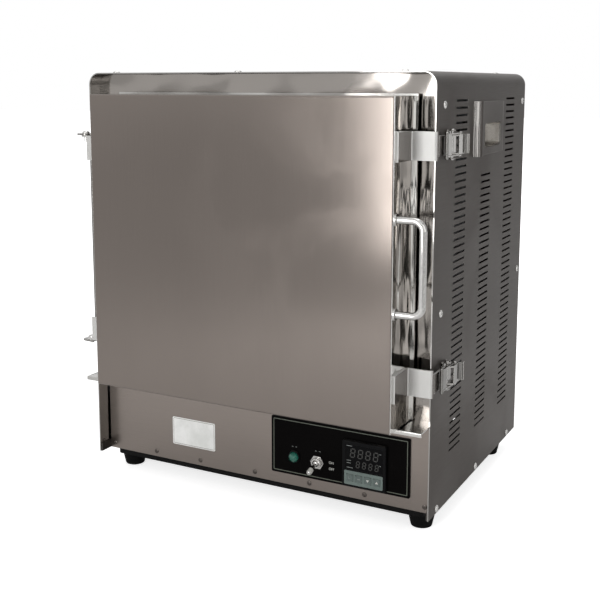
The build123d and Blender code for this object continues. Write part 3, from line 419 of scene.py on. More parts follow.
@dataclass(frozen=True)
class Steel:
    """Stainless sheet, brushed or polished."""

    name: str
    colour: Colour
    roughness: float = 0.34
    grain: Grain = Grain.ALONG_Z
    lines: float = 0.10
    line_depth: float = 0.02 * MM
    bands: float = 0.12
    edge_light: float = 1.6
    edge_radius: float = 0.4 * MM
    marks: float = 0.06
    dust: float = 0.05
    dust_colour: Colour = (0.55, 0.53, 0.5)
    waviness: float = 0.0
    wave_scale: tuple[float, float, float] = (11.0, 11.0, 11.0)
    wave_depth: float = 20.0 * MM
    polish: tuple[Polish, ...] = ()
    # Colour painted on the polished faces: a painted highlight, reflection or shade by the way they face.
    facing_shading_colour: Colour = (0.66, 0.65, 0.63)
    polish_roughness: float = 0.28

    def build(self) -> Material:
        """Make the material.

        Returns:
            The material.
        """
        made = Surface(self.name)
        graph = made.graph
        brushed = made.effect(EFFECTS.brushing, Stretch=self.grain.value)
        marks = made.effect(EFFECTS.handling, Scale=7.0).outputs["Mask"]
        edges = made.effect(EFFECTS.edges, Radius=self.edge_radius)
        dust = made.effect(EFFECTS.dust, Amount=self.dust).outputs["Mask"]
        tone = graph.span(brushed.outputs["Bands"], *NOISE_RANGE)
        line = graph.span(brushed.outputs["Lines"], *NOISE_RANGE)
        darker, lighter = shade(self.colour, 1.0 - self.bands), shade(self.colour, 1.0 + self.bands)
        sheet = graph.blend(tone, darker, lighter)
        lined = graph.blend(graph.math("MULTIPLY", line, self.lines), sheet, shade(self.colour, 0.55))
        # Sharp edges are painted lighter by edge_light: a painted highlight where a rounded edge would catch
        # the light.
        edge_highlighted = graph.blend(edges.outputs["Mask"], lined, shade(self.colour, self.edge_light))
        smeared = graph.blend(graph.math("MULTIPLY", marks, self.marks), edge_highlighted, shade(self.colour, 0.8))
        coloured = graph.blend(dust, smeared, shade(self.dust_colour))
        rough = graph.math("ADD", self.roughness, graph.math("MULTIPLY", line, self.lines * 0.6))
        rough = graph.math("ADD", rough, graph.math("MULTIPLY", marks, self.marks * 1.2))
        rough = graph.math("ADD", rough, graph.math("MULTIPLY", dust, 0.5), clamp=True)
        lines = brushed.outputs["Lines"]
        normal = made.relief(lines, self.line_depth, self.lines * 2.0, edges.outputs["Normal"])
        wave: object = self.waviness
        if self.polish:
            facing = made.effect(EFFECTS.facing)
            mirror: object = 0.0
            for side in self.polish:
                mirror = graph.math("MAXIMUM", mirror, facing.outputs[side.value])
            # The polished faces also get a painted colour: lighter for a painted highlight or reflection,
            # darker for painted shade.
            coloured = graph.blend(mirror, coloured, shade(self.facing_shading_colour))
            share = graph.span(mirror, 0.0, 1.0, 1.0, self.polish_roughness)
            rough = graph.math("MULTIPLY", rough, share)
            wave = graph.math("MULTIPLY", mirror, self.waviness)
        if self.waviness > 0:
            stretched = graph.node("ShaderNodeMapping")
            graph.feed(stretched, "Vector", graph.node("ShaderNodeTexCoord").outputs["Object"])
            graph.feed(stretched, "Scale", self.wave_scale)
            swell = graph.noise(stretched.outputs["Vector"], 1.0, 1.5, 0.4)
            normal = made.relief(swell, self.wave_depth, wave, normal)
        made.set(Base_Color=coloured, Metallic=1.0, Roughness=rough, Normal=normal)
        return made.material


@dataclass(frozen=True)
class Coating:
    """Paint, rubber, moulded plastic and other opaque skins."""

    name: str
    colour: Colour
    roughness: float = 0.5
    texture_scale: float = 900.0
    texture_height: float = 0.04 * MM
    mottle: float = 0.12
    edge_light: float = 1.8
    edge_radius: float = 0.4 * MM
    dust: float = 0.12
    dust_colour: Colour = (0.5, 0.48, 0.45)
    specular: float = 0.5

    def build(self) -> Material:
        """Make the material.

        Returns:
            The material.
        """
        made = Surface(self.name)
        graph = made.graph
        skin = made.effect(EFFECTS.speckle, Scale=self.texture_scale)
        edges = made.effect(EFFECTS.edges, Radius=self.edge_radius)
        dust = made.effect(EFFECTS.dust, Amount=self.dust).outputs["Mask"]
        cloud = graph.span(skin.outputs["Mottle"], *NOISE_RANGE)
        darker, lighter = shade(self.colour, 1.0 - self.mottle), shade(self.colour, 1.0 + self.mottle)
        # Sharp edges and outlines are painted lighter by edge_light: a painted highlight along them.
        edge = graph.math("MULTIPLY", edges.outputs["Mask"], 0.6)
        edge_highlighted = graph.blend(edge, graph.blend(cloud, darker, lighter), shade(self.colour, self.edge_light))
        rough = graph.math("ADD", self.roughness, graph.math("MULTIPLY", cloud, 0.08), clamp=True)
        normal = made.relief(skin.outputs["Fine"], self.texture_height, 0.6, edges.outputs["Normal"])
        made.set(
            Base_Color=graph.blend(dust, edge_highlighted, shade(self.dust_colour)),
            Roughness=rough, Normal=normal, Specular_IOR_Level=self.specular,
        )
        return made.material


@dataclass(frozen=True)
class Fibre:
    """Ceramic fibre and cast refractory: matt, pitted and a little scorched."""

    name: str
    colour: Colour
    scorched: Colour = (0.42, 0.33, 0.24)
    scorch: float = 0.25
    fibre_scale: float = 420.0
    depth: float = 0.6 * MM

    def build(self) -> Material:
        """Make the material.

        Returns:
            The material.
        """
        made = Surface(self.name)
        graph = made.graph
        skin = made.effect(EFFECTS.speckle, Scale=self.fibre_scale)
        patches = made.effect(EFFECTS.handling, Scale=6.0).outputs["Mask"]
        pits = graph.span(skin.outputs["Fine"], 0.3, 0.62)
        base = graph.blend(pits, shade(self.colour, 0.82), shade(self.colour, 1.03))
        aged = graph.blend(graph.math("MULTIPLY", patches, self.scorch), base, shade(self.scorched))
        made.set(Base_Color=aged, Roughness=0.93, Normal=made.relief(skin.outputs["Fine"], self.depth, 0.7))
        return made.material


@dataclass(frozen=True)
class Ink:
    """Screen-printed ink and unlit display segments."""

    name: str
    colour: Colour
    roughness: float = 0.45
    wear: float = 0.2

    def build(self) -> Material:
        """Make the material.

        Returns:
            The material.
        """
        made = Surface(self.name)
        graph = made.graph
        skin = made.effect(EFFECTS.speckle, Scale=2600.0)
        thin = graph.span(skin.outputs["Fine"], 0.35, 0.65, 0.0, self.wear)
        printed = graph.blend(thin, shade(self.colour), shade(self.colour, 0.6))
        made.set(Base_Color=printed, Roughness=self.roughness)
        return made.material


@dataclass(frozen=True)
class Lens:
    """Tinted clear plastic of the pilot lamp."""

    name: str
    colour: Colour

    def build(self) -> Material:
        """Make the material.

        Returns:
            The material.
        """
        made = Surface(self.name)
        graph = made.graph
        skin = made.effect(EFFECTS.speckle, Scale=500.0)
        depth = graph.span(skin.outputs["Mottle"], *NOISE_RANGE)
        tint = graph.blend(depth, shade(self.colour, 0.75), shade(self.colour, 1.25))
        rim = graph.node("ShaderNodeLayerWeight")
        graph.feed(rim, "Blend", 0.35)
        deep = graph.blend(rim.outputs["Facing"], tint, shade(self.colour, 0.35))
        made.set(Base_Color=deep, Roughness=0.12, Coat_Weight=0.6, IOR=1.49)
        return made.material


# ---------------------------------------------------------------- mesh helpers
def plain_mesh(name: str, shape: Shape) -> Mesh:
    """A mesh of a finished shape.

    Args:
        name: The mesh's name.
        shape: The shape. It is freed.

    Returns:
        The mesh.
    """
    mesh = bpy.data.meshes.new(name)
    shape.to_mesh(mesh)
    shape.free()
    return mesh


def put_in_scene(name: str, data: bpy.types.ID) -> Object:
    """A new object of the scene.

    Args:
        name: The object's name.
        data: Its mesh, curve, lamp or camera.

    Returns:
        The object.
    """
    made = bpy.data.objects.new(name, data)
    bpy.context.scene.collection.objects.link(made)
    return made


def piece(
    name: str, shape: Shape, material: Material, body: str, smooth_angle: float = 30.0
) -> Object:
    """Turn a finished shape into an object that rides on a body.

    Args:
        name: The object's name.
        shape: The shape, in metres and in its place. It is freed.
        material: Its finish.
        body: The body that carries it.
        smooth_angle: Edges sharper than this, in degrees, stay sharp.

    Returns:
        The object.
    """
    mesh = plain_mesh(name, shape)
    mesh.materials.append(material)
    mesh.shade_smooth()
    mesh.set_sharp_from_angle(angle=math.radians(smooth_angle))
    made = put_in_scene(name, mesh)
    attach(made, body)
    return made


def outward(shape: Shape) -> None:
    """Merge doubles and point every face outwards.

    Args:
        shape: The shape that is changed.
    """
    bmesh.ops.remove_doubles(shape, verts=shape.verts, dist=1e-7)
    bmesh.ops.recalc_face_normals(shape, faces=shape.faces)


def ring_of(
    shape: Shape, radius: float, height: float, steps: int, shift: float = 0.0
) -> list[bmesh.types.BMVert]:
    """Add a level ring of points about Z.

    Args:
        shape: The shape that gets them.
        radius: Radius of the ring.
        height: Height of the ring.
        steps: Number of points.
        shift: Angle of the first point, in radians.

    Returns:
        The points in order.
    """
    angles = [FULL_TURN * step / steps + shift for step in range(steps)]
    return [shape.verts.new((radius * math.cos(a), radius * math.sin(a), height)) for a in angles]


def turned(profile: Outline, steps: int = 32) -> Shape:
    """A shape turned about Z from a half profile that is closed on the axis or in itself.

    Args:
        profile: Radius and height of each point, in metres.
        steps: Sides of the turning.

    Returns:
        The closed shape.
    """
    shape = bmesh.new()
    rings = []
    for radius, height in profile:
        if radius > 0.0:
            rings.append(ring_of(shape, radius, height, steps))
        else:
            rings.append([shape.verts.new((0, 0, height))])
    for lower, upper in zip(rings, rings[1:]):
        for step in range(steps):
            after = (step + 1) % steps
            walk = ((lower, step), (lower, after), (upper, after), (upper, step))
            unique = list(dict.fromkeys(ring[at % len(ring)] for ring, at in walk))
            if len(unique) > 2:
                shape.faces.new(unique)
    outward(shape)
    return shape


def slab(
    outline: Outline, thickness: float, holes: Sequence[Outline] = ()
) -> Shape:
    """A flat plate in the XY plane, from z = 0 up to its thickness.

    Args:
        outline: Corners in metres, in order.
        thickness: Its thickness in metres.
        holes: Outlines that are left open.

    Returns:
        The plate.
    """
    shape = bmesh.new()
    loops = []
    for corners in (outline, *holes):
        ring = [shape.verts.new((x, y, 0)) for x, y in corners]
        loops += [shape.edges.new((ring[at - 1], ring[at])) for at in range(len(ring))]
    bmesh.ops.triangle_fill(shape, use_beauty=True, use_dissolve=False, edges=loops, normal=(0, 0, 1))
    raised = bmesh.ops.extrude_face_region(shape, geom=list(shape.faces))
    moved = [item for item in raised["geom"] if isinstance(item, bmesh.types.BMVert)]
    bmesh.ops.translate(shape, verts=moved, vec=(0, 0, thickness))
    outward(shape)
    return shape


def rounded_outline(width: float, height: float, corner: float, steps: int = 6) -> list[tuple[float, float]]:
    """Corners of a rounded rectangle centred on the origin.

    Args:
        width: Along X.
        height: Along Y.
        corner: Corner radius.
        steps: Points of each corner, less one.

    Returns:
        The corners in order.
    """
    points = []
    for quarter, (side, top) in enumerate(((1, 1), (-1, 1), (-1, -1), (1, -1))):
        centre = (side * (width / 2 - corner), top * (height / 2 - corner))
        for step in range(steps + 1):
            angle = math.pi / 2 * (quarter + step / steps)
            points.append((centre[0] + corner * math.cos(angle), centre[1] + corner * math.sin(angle)))
    return points


def frame_outlines(
    width: float, height: float, inset: float, line: float
) -> tuple[list[tuple[float, float]], list[tuple[float, float]]]:
    """Outer and inner outline of a thin frame printed inside a plate's edge.

    Args:
        width: Width of the plate.
        height: Height of the plate.
        inset: Distance from the plate's edge to the line.
        line: Width of the line.

    Returns:
        The outer and the inner outline.
    """
    within = inset + line
    return (
        rounded_outline(width - 2 * inset, height - 2 * inset, 1.0 * MM),
        rounded_outline(width - 2 * within, height - 2 * within, 0.6 * MM),
    )


def facing_front(x: float, y: float, z: float) -> Matrix:
    """Placement of a flat shape on an upright face.

    Its X stays X, its Y turns up, and its Z points to the front.

    Args:
        x: Place of its origin.
        y: Depth of the face.
        z: Height of its origin.

    Returns:
        The placement.
    """
    return Matrix.Translation((x, y, z)) @ Matrix.Rotation(math.pi / 2, 4, "X")


def placed(shape: Shape, placement: Matrix) -> Shape:
    """Move a shape and hand it back.

    Args:
        shape: The shape that is moved.
        placement: Its placement.

    Returns:
        The same shape.
    """
    shape.transform(placement)
    return shape


def joined(shapes: Iterable[Shape]) -> Shape:
    """Gather several shapes into one.

    Args:
        shapes: The shapes, which are freed.

    Returns:
        One shape.
    """
    whole = bmesh.new()
    for shape in shapes:
        part = plain_mesh("part", shape)
        whole.from_mesh(part)
        bpy.data.meshes.remove(part)
    return whole


def middle(node: str) -> Vector:
    """Centre of a node's box.

    Args:
        node: The node's name.

    Returns:
        Its centre in metres.
    """
    low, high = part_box(node)
    return (Vector(low) + Vector(high)) / 2


def solids_of(node: str) -> list[tuple[Vector, Vector]]:
    """Box of each separate solid in a node, in the order of the mesh's points.

    Args:
        node: The node's name.

    Returns:
        Lowest and highest corner of each solid.
    """
    shape = bmesh.new()
    shape.from_mesh(frame["nodes"][node].data)
    bmesh.ops.remove_doubles(shape, verts=shape.verts, dist=1e-6)
    unseen = set(shape.verts)
    boxes = []
    for start in shape.verts:
        if start not in unseen:
            continue
        unseen.discard(start)
        island, front = [], [start]
        while front:
            vertex = front.pop()
            island.append(vertex)
            for edge in vertex.link_edges:
                other = edge.other_vert(vertex)
                if other in unseen:
                    unseen.discard(other)
                    front.append(other)
        low = Vector([min(v.co[axis] for v in island) for axis in range(3)])
        high = Vector([max(v.co[axis] for v in island) for axis in range(3)])
        boxes.append((low, high))
    shape.free()
    return boxes


# ---------------------------------------------------------------- repeats by geometry nodes
class Repeats:
    """Stands a template on many points, each turned to its own direction."""

    def __init__(self) -> None:
        """Build the node tree once."""
        self.tree = bpy.data.node_groups.new("stand_on_points", "GeometryNodeTree")
        sockets = self.tree.interface
        self.inputs = {
            label: sockets.new_socket(label, in_out="INPUT", socket_type=f"NodeSocket{kind}").identifier
            for label, kind in (
                ("Points", "Geometry"), ("Template", "Object"), ("Size", "Float"), ("Random turn", "Float"),
                ("Material", "Material"),
            )
        }
        sockets.new_socket("Geometry", in_out="OUTPUT", socket_type="NodeSocketGeometry")
        graph = Graph(self.tree)
        given, out = graph.node("NodeGroupInput"), graph.node("NodeGroupOutput")
        facing = graph.node("GeometryNodeInputNamedAttribute", data_type="FLOAT_VECTOR")
        graph.feed(facing, "Name", "facing")
        aligned = graph.node("FunctionNodeAlignRotationToVector", axis="Z")
        graph.feed(aligned, "Vector", facing.outputs["Attribute"])
        spin = graph.node("FunctionNodeRandomValue", data_type="FLOAT")
        graph.feed(spin, "Max", given.outputs["Random turn"])
        graph.feed(spin, "Seed", 7)
        about = graph.node("FunctionNodeAxisAngleToRotation")
        graph.feed(about, "Angle", spin.outputs[1])
        both = graph.node("FunctionNodeRotateRotation", rotation_space="LOCAL")
        graph.feed(both, 0, aligned.outputs[0])
        graph.feed(both, 1, about.outputs[0])
        template = graph.node("GeometryNodeObjectInfo")
        graph.feed(template, "Object", given.outputs["Template"])
        stand = graph.node("GeometryNodeInstanceOnPoints")
        graph.feed(stand, "Points", given.outputs["Points"])
        graph.feed(stand, "Instance", template.outputs["Geometry"])
        graph.feed(stand, "Rotation", both.outputs[0])
        graph.feed(stand, "Scale", given.outputs["Size"])
        real = graph.node("GeometryNodeRealizeInstances")
        graph.feed(real, "Geometry", stand.outputs[0])
        dressed = graph.node("GeometryNodeSetMaterial")
        graph.feed(dressed, "Geometry", real.outputs[0])
        graph.feed(dressed, "Material", given.outputs["Material"])
        graph.feed(out, 0, dressed.outputs[0])

    def build(
        self, name: str, template: Shape, places: Sequence[tuple[Vector, Vector]],
        material: Material, body: str, turn: float = 0.0, smooth_angle: float = 30.0,
    ) -> Object:
        """Make one plain mesh of all the copies.

        Args:
            name: The object's name.
            template: Shape of one copy, standing on the origin along +Z. It is freed.
            places: Place and direction of each copy.
            material: The copies' finish.
            body: The body that carries them.
            turn: Widest random turn of a copy about its own axis, in radians.
            smooth_angle: Edges sharper than this, in degrees, stay sharp.

        Returns:
            The object.
        """
        pattern = put_in_scene(name + "_template", plain_mesh(name + "_template", template))
        points = bpy.data.meshes.new(name + "_points")
        points.from_pydata([place for place, _ in places], [], [])
        directions = points.attributes.new("facing", "FLOAT_VECTOR", "POINT")
        for item, (_, direction) in zip(directions.data, places):
            item.vector = direction
        carrier = put_in_scene(name + "_carrier", points)
        modifier = carrier.modifiers.new("repeat", "NODES")
        modifier.node_group = self.tree
        values = {"Template": pattern, "Size": 1.0, "Random turn": turn, "Material": material}
        for label, value in values.items():
            modifier[self.inputs[label]] = value
        whole = plain_copy(carrier, name)
        for used in (pattern, carrier):
            bpy.data.objects.remove(used)
        whole.shade_smooth()
        whole.set_sharp_from_angle(angle=math.radians(smooth_angle))
        finished = put_in_scene(name, whole)
        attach(finished, body)
        return finished


def plain_copy(carrier: Object, name: str) -> Mesh:
    """Mesh of an object with its modifiers worked in.

    Args:
        carrier: The object with modifiers.
        name: The new mesh's name.

    Returns:
        The plain mesh.
    """
    graph = bpy.context.evaluated_depsgraph_get()
    graph.update()
    evaluated = carrier.evaluated_get(graph)
    mesh = bpy.data.meshes.new_from_object(evaluated, preserve_all_data_layers=True, depsgraph=graph)
    mesh.name = name
    return mesh


REPEATS = Repeats()


def cut_by(shape: Shape, tool: Shape) -> Shape:
    """Cut one shape with another.

    Args:
        shape: The shape that is cut. It is freed.
        tool: The shape taken away. It is freed.

    Returns:
        The cut shape.
    """
    body = put_in_scene("cut_body", plain_mesh("cut_body", shape))
    cutter = put_in_scene("cut_tool", plain_mesh("cut_tool", tool))
    modifier = body.modifiers.new("cut", "BOOLEAN")
    modifier.operation = "DIFFERENCE"
    modifier.solver = "EXACT"
    modifier.object = cutter
    mesh = plain_copy(body, "cut_result")
    result = bmesh.new()
    result.from_mesh(mesh)
    bpy.data.meshes.remove(mesh)
    for used in (body, cutter):
        bpy.data.objects.remove(used)
    return result


def screw_head(radius: float, height: float) -> Shape:
    """A pan head with a cross recess, which stands on the origin.

    Args:
        radius: Radius of the head.
        height: Height of its crown.

    Returns:
        The head.
    """
    rim, crown_steps = 0.28, 6  # the straight rim's share of the height, and the steps of the dome
    profile = [(0.0, 0.0), (radius, 0.0), (radius, height * rim)]
    for step in range(1, crown_steps):
        angle = math.pi / 2 * step / crown_steps
        profile.append((radius * math.cos(angle) * 0.98, height * (rim + (1.0 - rim) * math.sin(angle))))
    head = turned([*profile, (0.0, height)], 28)
    arm, width = radius * 0.52, radius * 0.17
    corners = []
    for quarter in range(4):
        turn = Matrix.Rotation(quarter * math.pi / 2, 2)
        for point in ((arm, -width / 2), (arm, width / 2), (width / 2, width / 2)):
            moved = turn @ Vector(point)
            corners.append((moved.x, moved.y))
    recess = placed(slab(corners, height), Matrix.Translation((0, 0, height * 0.42)))
    return cut_by(head, recess)


# ---------------------------------------------------------------- finishes
# TAUPE and DARK are shaded copies of one stainless steel, both painted darker than the steel as painted shade
# for the dim room it reflects; DARK, on the cover and the grips, is the more shaded copy.
TAUPE = (0.222, 0.193, 0.174)
DARK = (0.088, 0.077, 0.069)

# The colours given to polished faces below are painted light: the door's sides and the grip's front are
# painted lighter as a highlight, the cover's inside and front lighter as a reflection, and the straps' sides
# darker as shade.
FINISHES = (
    Steel(
        "door_sheet", TAUPE, roughness=0.14, lines=0.08, bands=0.04, waviness=0.5,
        wave_scale=(24.0, 24.0, 4.0), polish=(Polish.SIDES,), facing_shading_colour=(0.86, 0.855, 0.84),
    ),
    Steel("panel_sheet", (0.275, 0.24, 0.217), roughness=0.27, grain=Grain.ALONG_X, bands=0.05),
    Steel(
        "mirror_panel", (0.31, 0.288, 0.268), roughness=0.08, grain=Grain.ALONG_X,
        lines=0.03, bands=0.1, waviness=0.6,
    ),
    Steel(
        "cover_sheet", DARK, roughness=0.38, grain=Grain.ALONG_Y, bands=0.06, dust=0.08, waviness=0.3,
        polish=(Polish.INSIDE, Polish.FRONT), facing_shading_colour=(0.42, 0.41, 0.395),
    ),
    Steel(
        "bright_sheet", (0.52, 0.51, 0.49), roughness=0.1, lines=0.05, bands=0.2, waviness=0.7,
        edge_light=1.3,
    ),
    Steel(
        "strap_sheet", (0.62, 0.615, 0.6), roughness=0.58, lines=0.05, edge_light=1.5,
        polish=(Polish.SIDES,), facing_shading_colour=(0.24, 0.222, 0.208),
    ),
    Steel(
        "latch_steel", (0.27, 0.262, 0.25), roughness=0.1, lines=0.01, bands=0.15,
        edge_light=3.2, edge_radius=0.6 * MM,
    ),
    Steel(
        "grip_steel", DARK, roughness=0.38, lines=0.05, bands=0.06, waviness=0.4,
        polish=(Polish.FRONT,), facing_shading_colour=(0.33, 0.315, 0.3),
    ),
    Steel("pocket_steel", (0.72, 0.7, 0.67), roughness=0.22, lines=0.01, bands=0.1, waviness=0.9),
    Steel("bright_bar", (0.6, 0.59, 0.575), roughness=0.08, lines=0.03, bands=0.1, edge_light=1.2),
    Steel("screw_steel", (0.72, 0.71, 0.69), roughness=0.2, lines=0.08, edge_light=1.4),
    Steel("dull_screw", (0.12, 0.105, 0.095), roughness=0.3, lines=0.08),
    Steel("tray_steel", (0.1, 0.092, 0.085), roughness=0.4, grain=Grain.ALONG_X, dust=0.1),
    Steel("plain_zinc", (0.4, 0.41, 0.42), roughness=0.42, bands=0.25, dust=0.15),
    Steel("oxidised_wire", (0.16, 0.14, 0.13), roughness=0.6, lines=0.2),
    Steel("fin_aluminium", (0.6, 0.6, 0.61), roughness=0.4, grain=Grain.ALONG_Y),
    Coating("black_paint", (0.004, 0.0038, 0.0038), texture_scale=1400.0, dust=0.02, specular=0.1),
    Coating("foot_rubber", (0.004, 0.004, 0.004), roughness=0.75, dust=0.03, specular=0.1),
    Coating(
        "plate_black", (0.0022, 0.0018, 0.0018), roughness=0.3, texture_height=0.01 * MM,
        dust=0.0, edge_light=6.0, specular=0.03,
    ),
    Coating(
        "moulded_black", (0.004, 0.004, 0.0045), roughness=0.4, texture_scale=2200.0,
        edge_light=4.0, specular=0.08,
    ),
    Coating(
        "smoked_window", (0.002, 0.002, 0.0025), roughness=0.12, texture_height=0.004 * MM,
        dust=0.0, specular=0.08,
    ),
    Coating("keypad_grey", (0.14, 0.18, 0.165), roughness=0.45, texture_height=0.01 * MM),
    Coating("key_grey", (0.105, 0.135, 0.125), roughness=0.38, texture_height=0.01 * MM, edge_light=3.5),
    Coating("white_nylon", (0.78, 0.77, 0.72), roughness=0.4, texture_height=0.01 * MM),
    Coating("terminal_white", (0.7, 0.68, 0.6)),
    Coating("label_white", (0.90, 0.91, 0.88), roughness=0.35, texture_height=0.006 * MM),
    Ink("border_ink", (0.12, 0.135, 0.105)),
    Ink("label_ink", (0.35, 0.33, 0.3)),
    Ink("white_ink", (0.62, 0.62, 0.58)),
    Ink("pale_ink", (0.25, 0.27, 0.26)),
    Ink("unlit_segment", (0.036, 0.036, 0.033), roughness=0.3),
    Lens("lamp_green", (0.006, 0.14, 0.095)),
    Fibre("fibre_rope", (0.68, 0.65, 0.58), scorch=0.35),
    Fibre("fibre_board", (0.74, 0.72, 0.67), scorch=0.18, fibre_scale=300.0),
    Fibre("cast_refractory", (0.62, 0.56, 0.47), scorch=0.3, fibre_scale=520.0),
)


class Finishes:
    """Every finish of the furnace, made once and found by its name."""

    def __init__(self) -> None:
        """Make the materials."""
        self.made = {finish.name: finish.build() for finish in FINISHES}

    def __getitem__(self, name: str) -> Material:
        """The material of one finish.

        Args:
            name: The finish's name.

        Returns:
            Its material.
        """
        return self.made[name]

    def dress(self, finish: str, *nodes: str) -> None:
        """Give CAD nodes a finish.

        Args:
            finish: The finish's name.
            nodes: Names of the nodes.
        """
        for name in nodes:
            slots = frame["nodes"][name].material_slots
            if not slots:
                frame["nodes"][name].data.materials.append(self[finish])
            for slot in slots:
                slot.material = self[finish]


# ---------------------------------------------------------------- sub-assemblies
@dataclass
class Cabinet:
    """Cover, panels, grips, feet and what is bolted inside."""

    finishes: Finishes
    cover_screw: tuple[float, float] = (3.7 * MM, 1.8 * MM)
    panel_screw: tuple[float, float] = (2.6 * MM, 1.0 * MM)
    bracket_screw: tuple[float, float] = (3.1 * MM, 1.5 * MM)
    bracket_sheet: float = 2.0 * MM
    bracket_screw_setback: float = 8.0 * MM
    screw_turn: float = 3.1
    foot_taper: float = 11.0 / 14.5
    foot_lip: float = 1.2 * MM
    foot_pocket_radius: float = 4.0 * MM
    foot_pocket_depth: float = 9.0 * MM
    foot_collar: float = 1.8 * MM
    label_size: tuple[float, float] = (55.7 * MM, 31.6 * MM)
    label_centre: tuple[float, float] = (-81.45 * MM, 57.6 * MM)
    label_sheet: float = 0.3 * MM
    rule_inset: float = 1.1 * MM
    rule_line: float = 0.5 * MM
    rule_ink: float = 0.04 * MM

    def dress(self) -> None:
        """Give the cabinet's nodes their finishes."""
        give = self.finishes.dress
        give("cover_sheet", "outer_cover")
        give("mirror_panel", "upper_panel")
        give("panel_sheet", "lower_panel", "rear_panel")
        give("bright_sheet", "sill_shelf")
        give("grip_steel", "grip_hood_left", "grip_hood_right")
        give("pocket_steel", "grip_cup_left", "grip_cup_right")
        give("black_paint", "base_plinth")
        give("tray_steel", "floor_tray")
        give("plain_zinc", "inner_frame", "inner_casing")
        give("fibre_board", "fibre_insulation")
        give("cast_refractory", "muffle", "hearth_plate", "lead_bushes")
        give("oxidised_wire", "heating_elements", "thermocouple")
        give("fin_aluminium", "relay_heat_sink")
        give("moulded_black", "power_relay", "cable_gland", "lamp_holder")
        give("terminal_white", "terminal_block")
        give("latch_steel", "hinge_bracket")
        give("bright_bar", "hinge_pins")

    def screws(self) -> list[Object]:
        """Cross-recess screws in place of the plain heads.

        Returns:
            The two sets of screws.
        """
        made = []
        for node, size_of_head, finish in (
            ("cover_screws", self.cover_screw, "screw_steel"),
            ("panel_screws", self.panel_screw, "dull_screw"),
        ):
            places = []
            for low, high in solids_of(node):
                centre, size = (low + high) / 2, high - low
                axis = min(range(3), key=lambda at: size[at])
                direction = Vector((0, 0, 0))
                direction[axis] = -1.0 if axis == 1 else math.copysign(1.0, centre[axis])
                places.append((centre - direction * size[axis] / 2, direction))
            head = screw_head(*size_of_head)
            group = REPEATS.build(
                node + "_cross", head, places, self.finishes[finish], "cabinet", turn=self.screw_turn
            )
            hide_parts(node)
            made.append(group)
        return made

    def feet(self) -> Object:
        """Moulded rubber feet with a rounded lip and a recessed screw pocket.

        Returns:
            The four feet.
        """
        boxes = solids_of("rubber_feet")
        low, high = boxes[0]
        top, height = (high.x - low.x) / 2, high.z - low.z
        bottom, lip, pocket = top * self.foot_taper, self.foot_lip, self.foot_pocket_radius
        profile = [
            (0.0, self.foot_pocket_depth), (pocket, self.foot_pocket_depth), (pocket, lip * 0.4),
            (pocket + lip * 0.5, 0.0), (bottom - lip, 0.0), (bottom - lip * 0.3, lip * 0.3), (bottom, lip),
            (top - 0.4 * MM, height - self.foot_collar - 0.4 * MM), (top, height - self.foot_collar),
            (top, height), (0.0, height),
        ]
        places = [(Vector(((a.x + b.x) / 2, (a.y + b.y) / 2, 0.0)), Vector((0, 0, 1))) for a, b in boxes]
        foot = turned(profile, 40)
        group = REPEATS.build("moulded_feet", foot, places, self.finishes["foot_rubber"], "cabinet")
        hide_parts("rubber_feet")
        return group

    def bracket_screws(self) -> Object:
        """Four pan heads that hold the hinge bracket to the cover.

        Returns:
            The screws.
        """
        low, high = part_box("hinge_bracket")
        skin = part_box("outer_cover")[0][0] - self.bracket_sheet
        rows = [low[2] + (high[2] - low[2]) * share for share in (0.1, 0.36, 0.64, 0.9)]
        line = high[1] - self.bracket_screw_setback
        places = [(Vector((skin, line, row)), Vector((-1, 0, 0))) for row in rows]
        return REPEATS.build(
            "bracket_screws", screw_head(*self.bracket_screw), places, self.finishes["screw_steel"],
            "cabinet", turn=self.screw_turn,
        )

    def label(self) -> Object:
        """A bare white label with a fine printed frame, stuck to the lower panel.

        Returns:
            The label.
        """
        place = facing_front(self.label_centre[0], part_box("lower_panel")[0][1], self.label_centre[1])
        width, height = self.label_size
        plate = placed(slab(rounded_outline(width, height, 1.6 * MM), self.label_sheet), place)
        outer, inner = frame_outlines(width, height, self.rule_inset, self.rule_line)
        raised = place @ Matrix.Translation((0, 0, self.label_sheet))
        rule = placed(slab(outer, self.rule_ink, [inner]), raised)
        piece("label_rule", rule, self.finishes["label_ink"], "cabinet")
        return piece("bare_label", plate, self.finishes["label_white"], "cabinet")


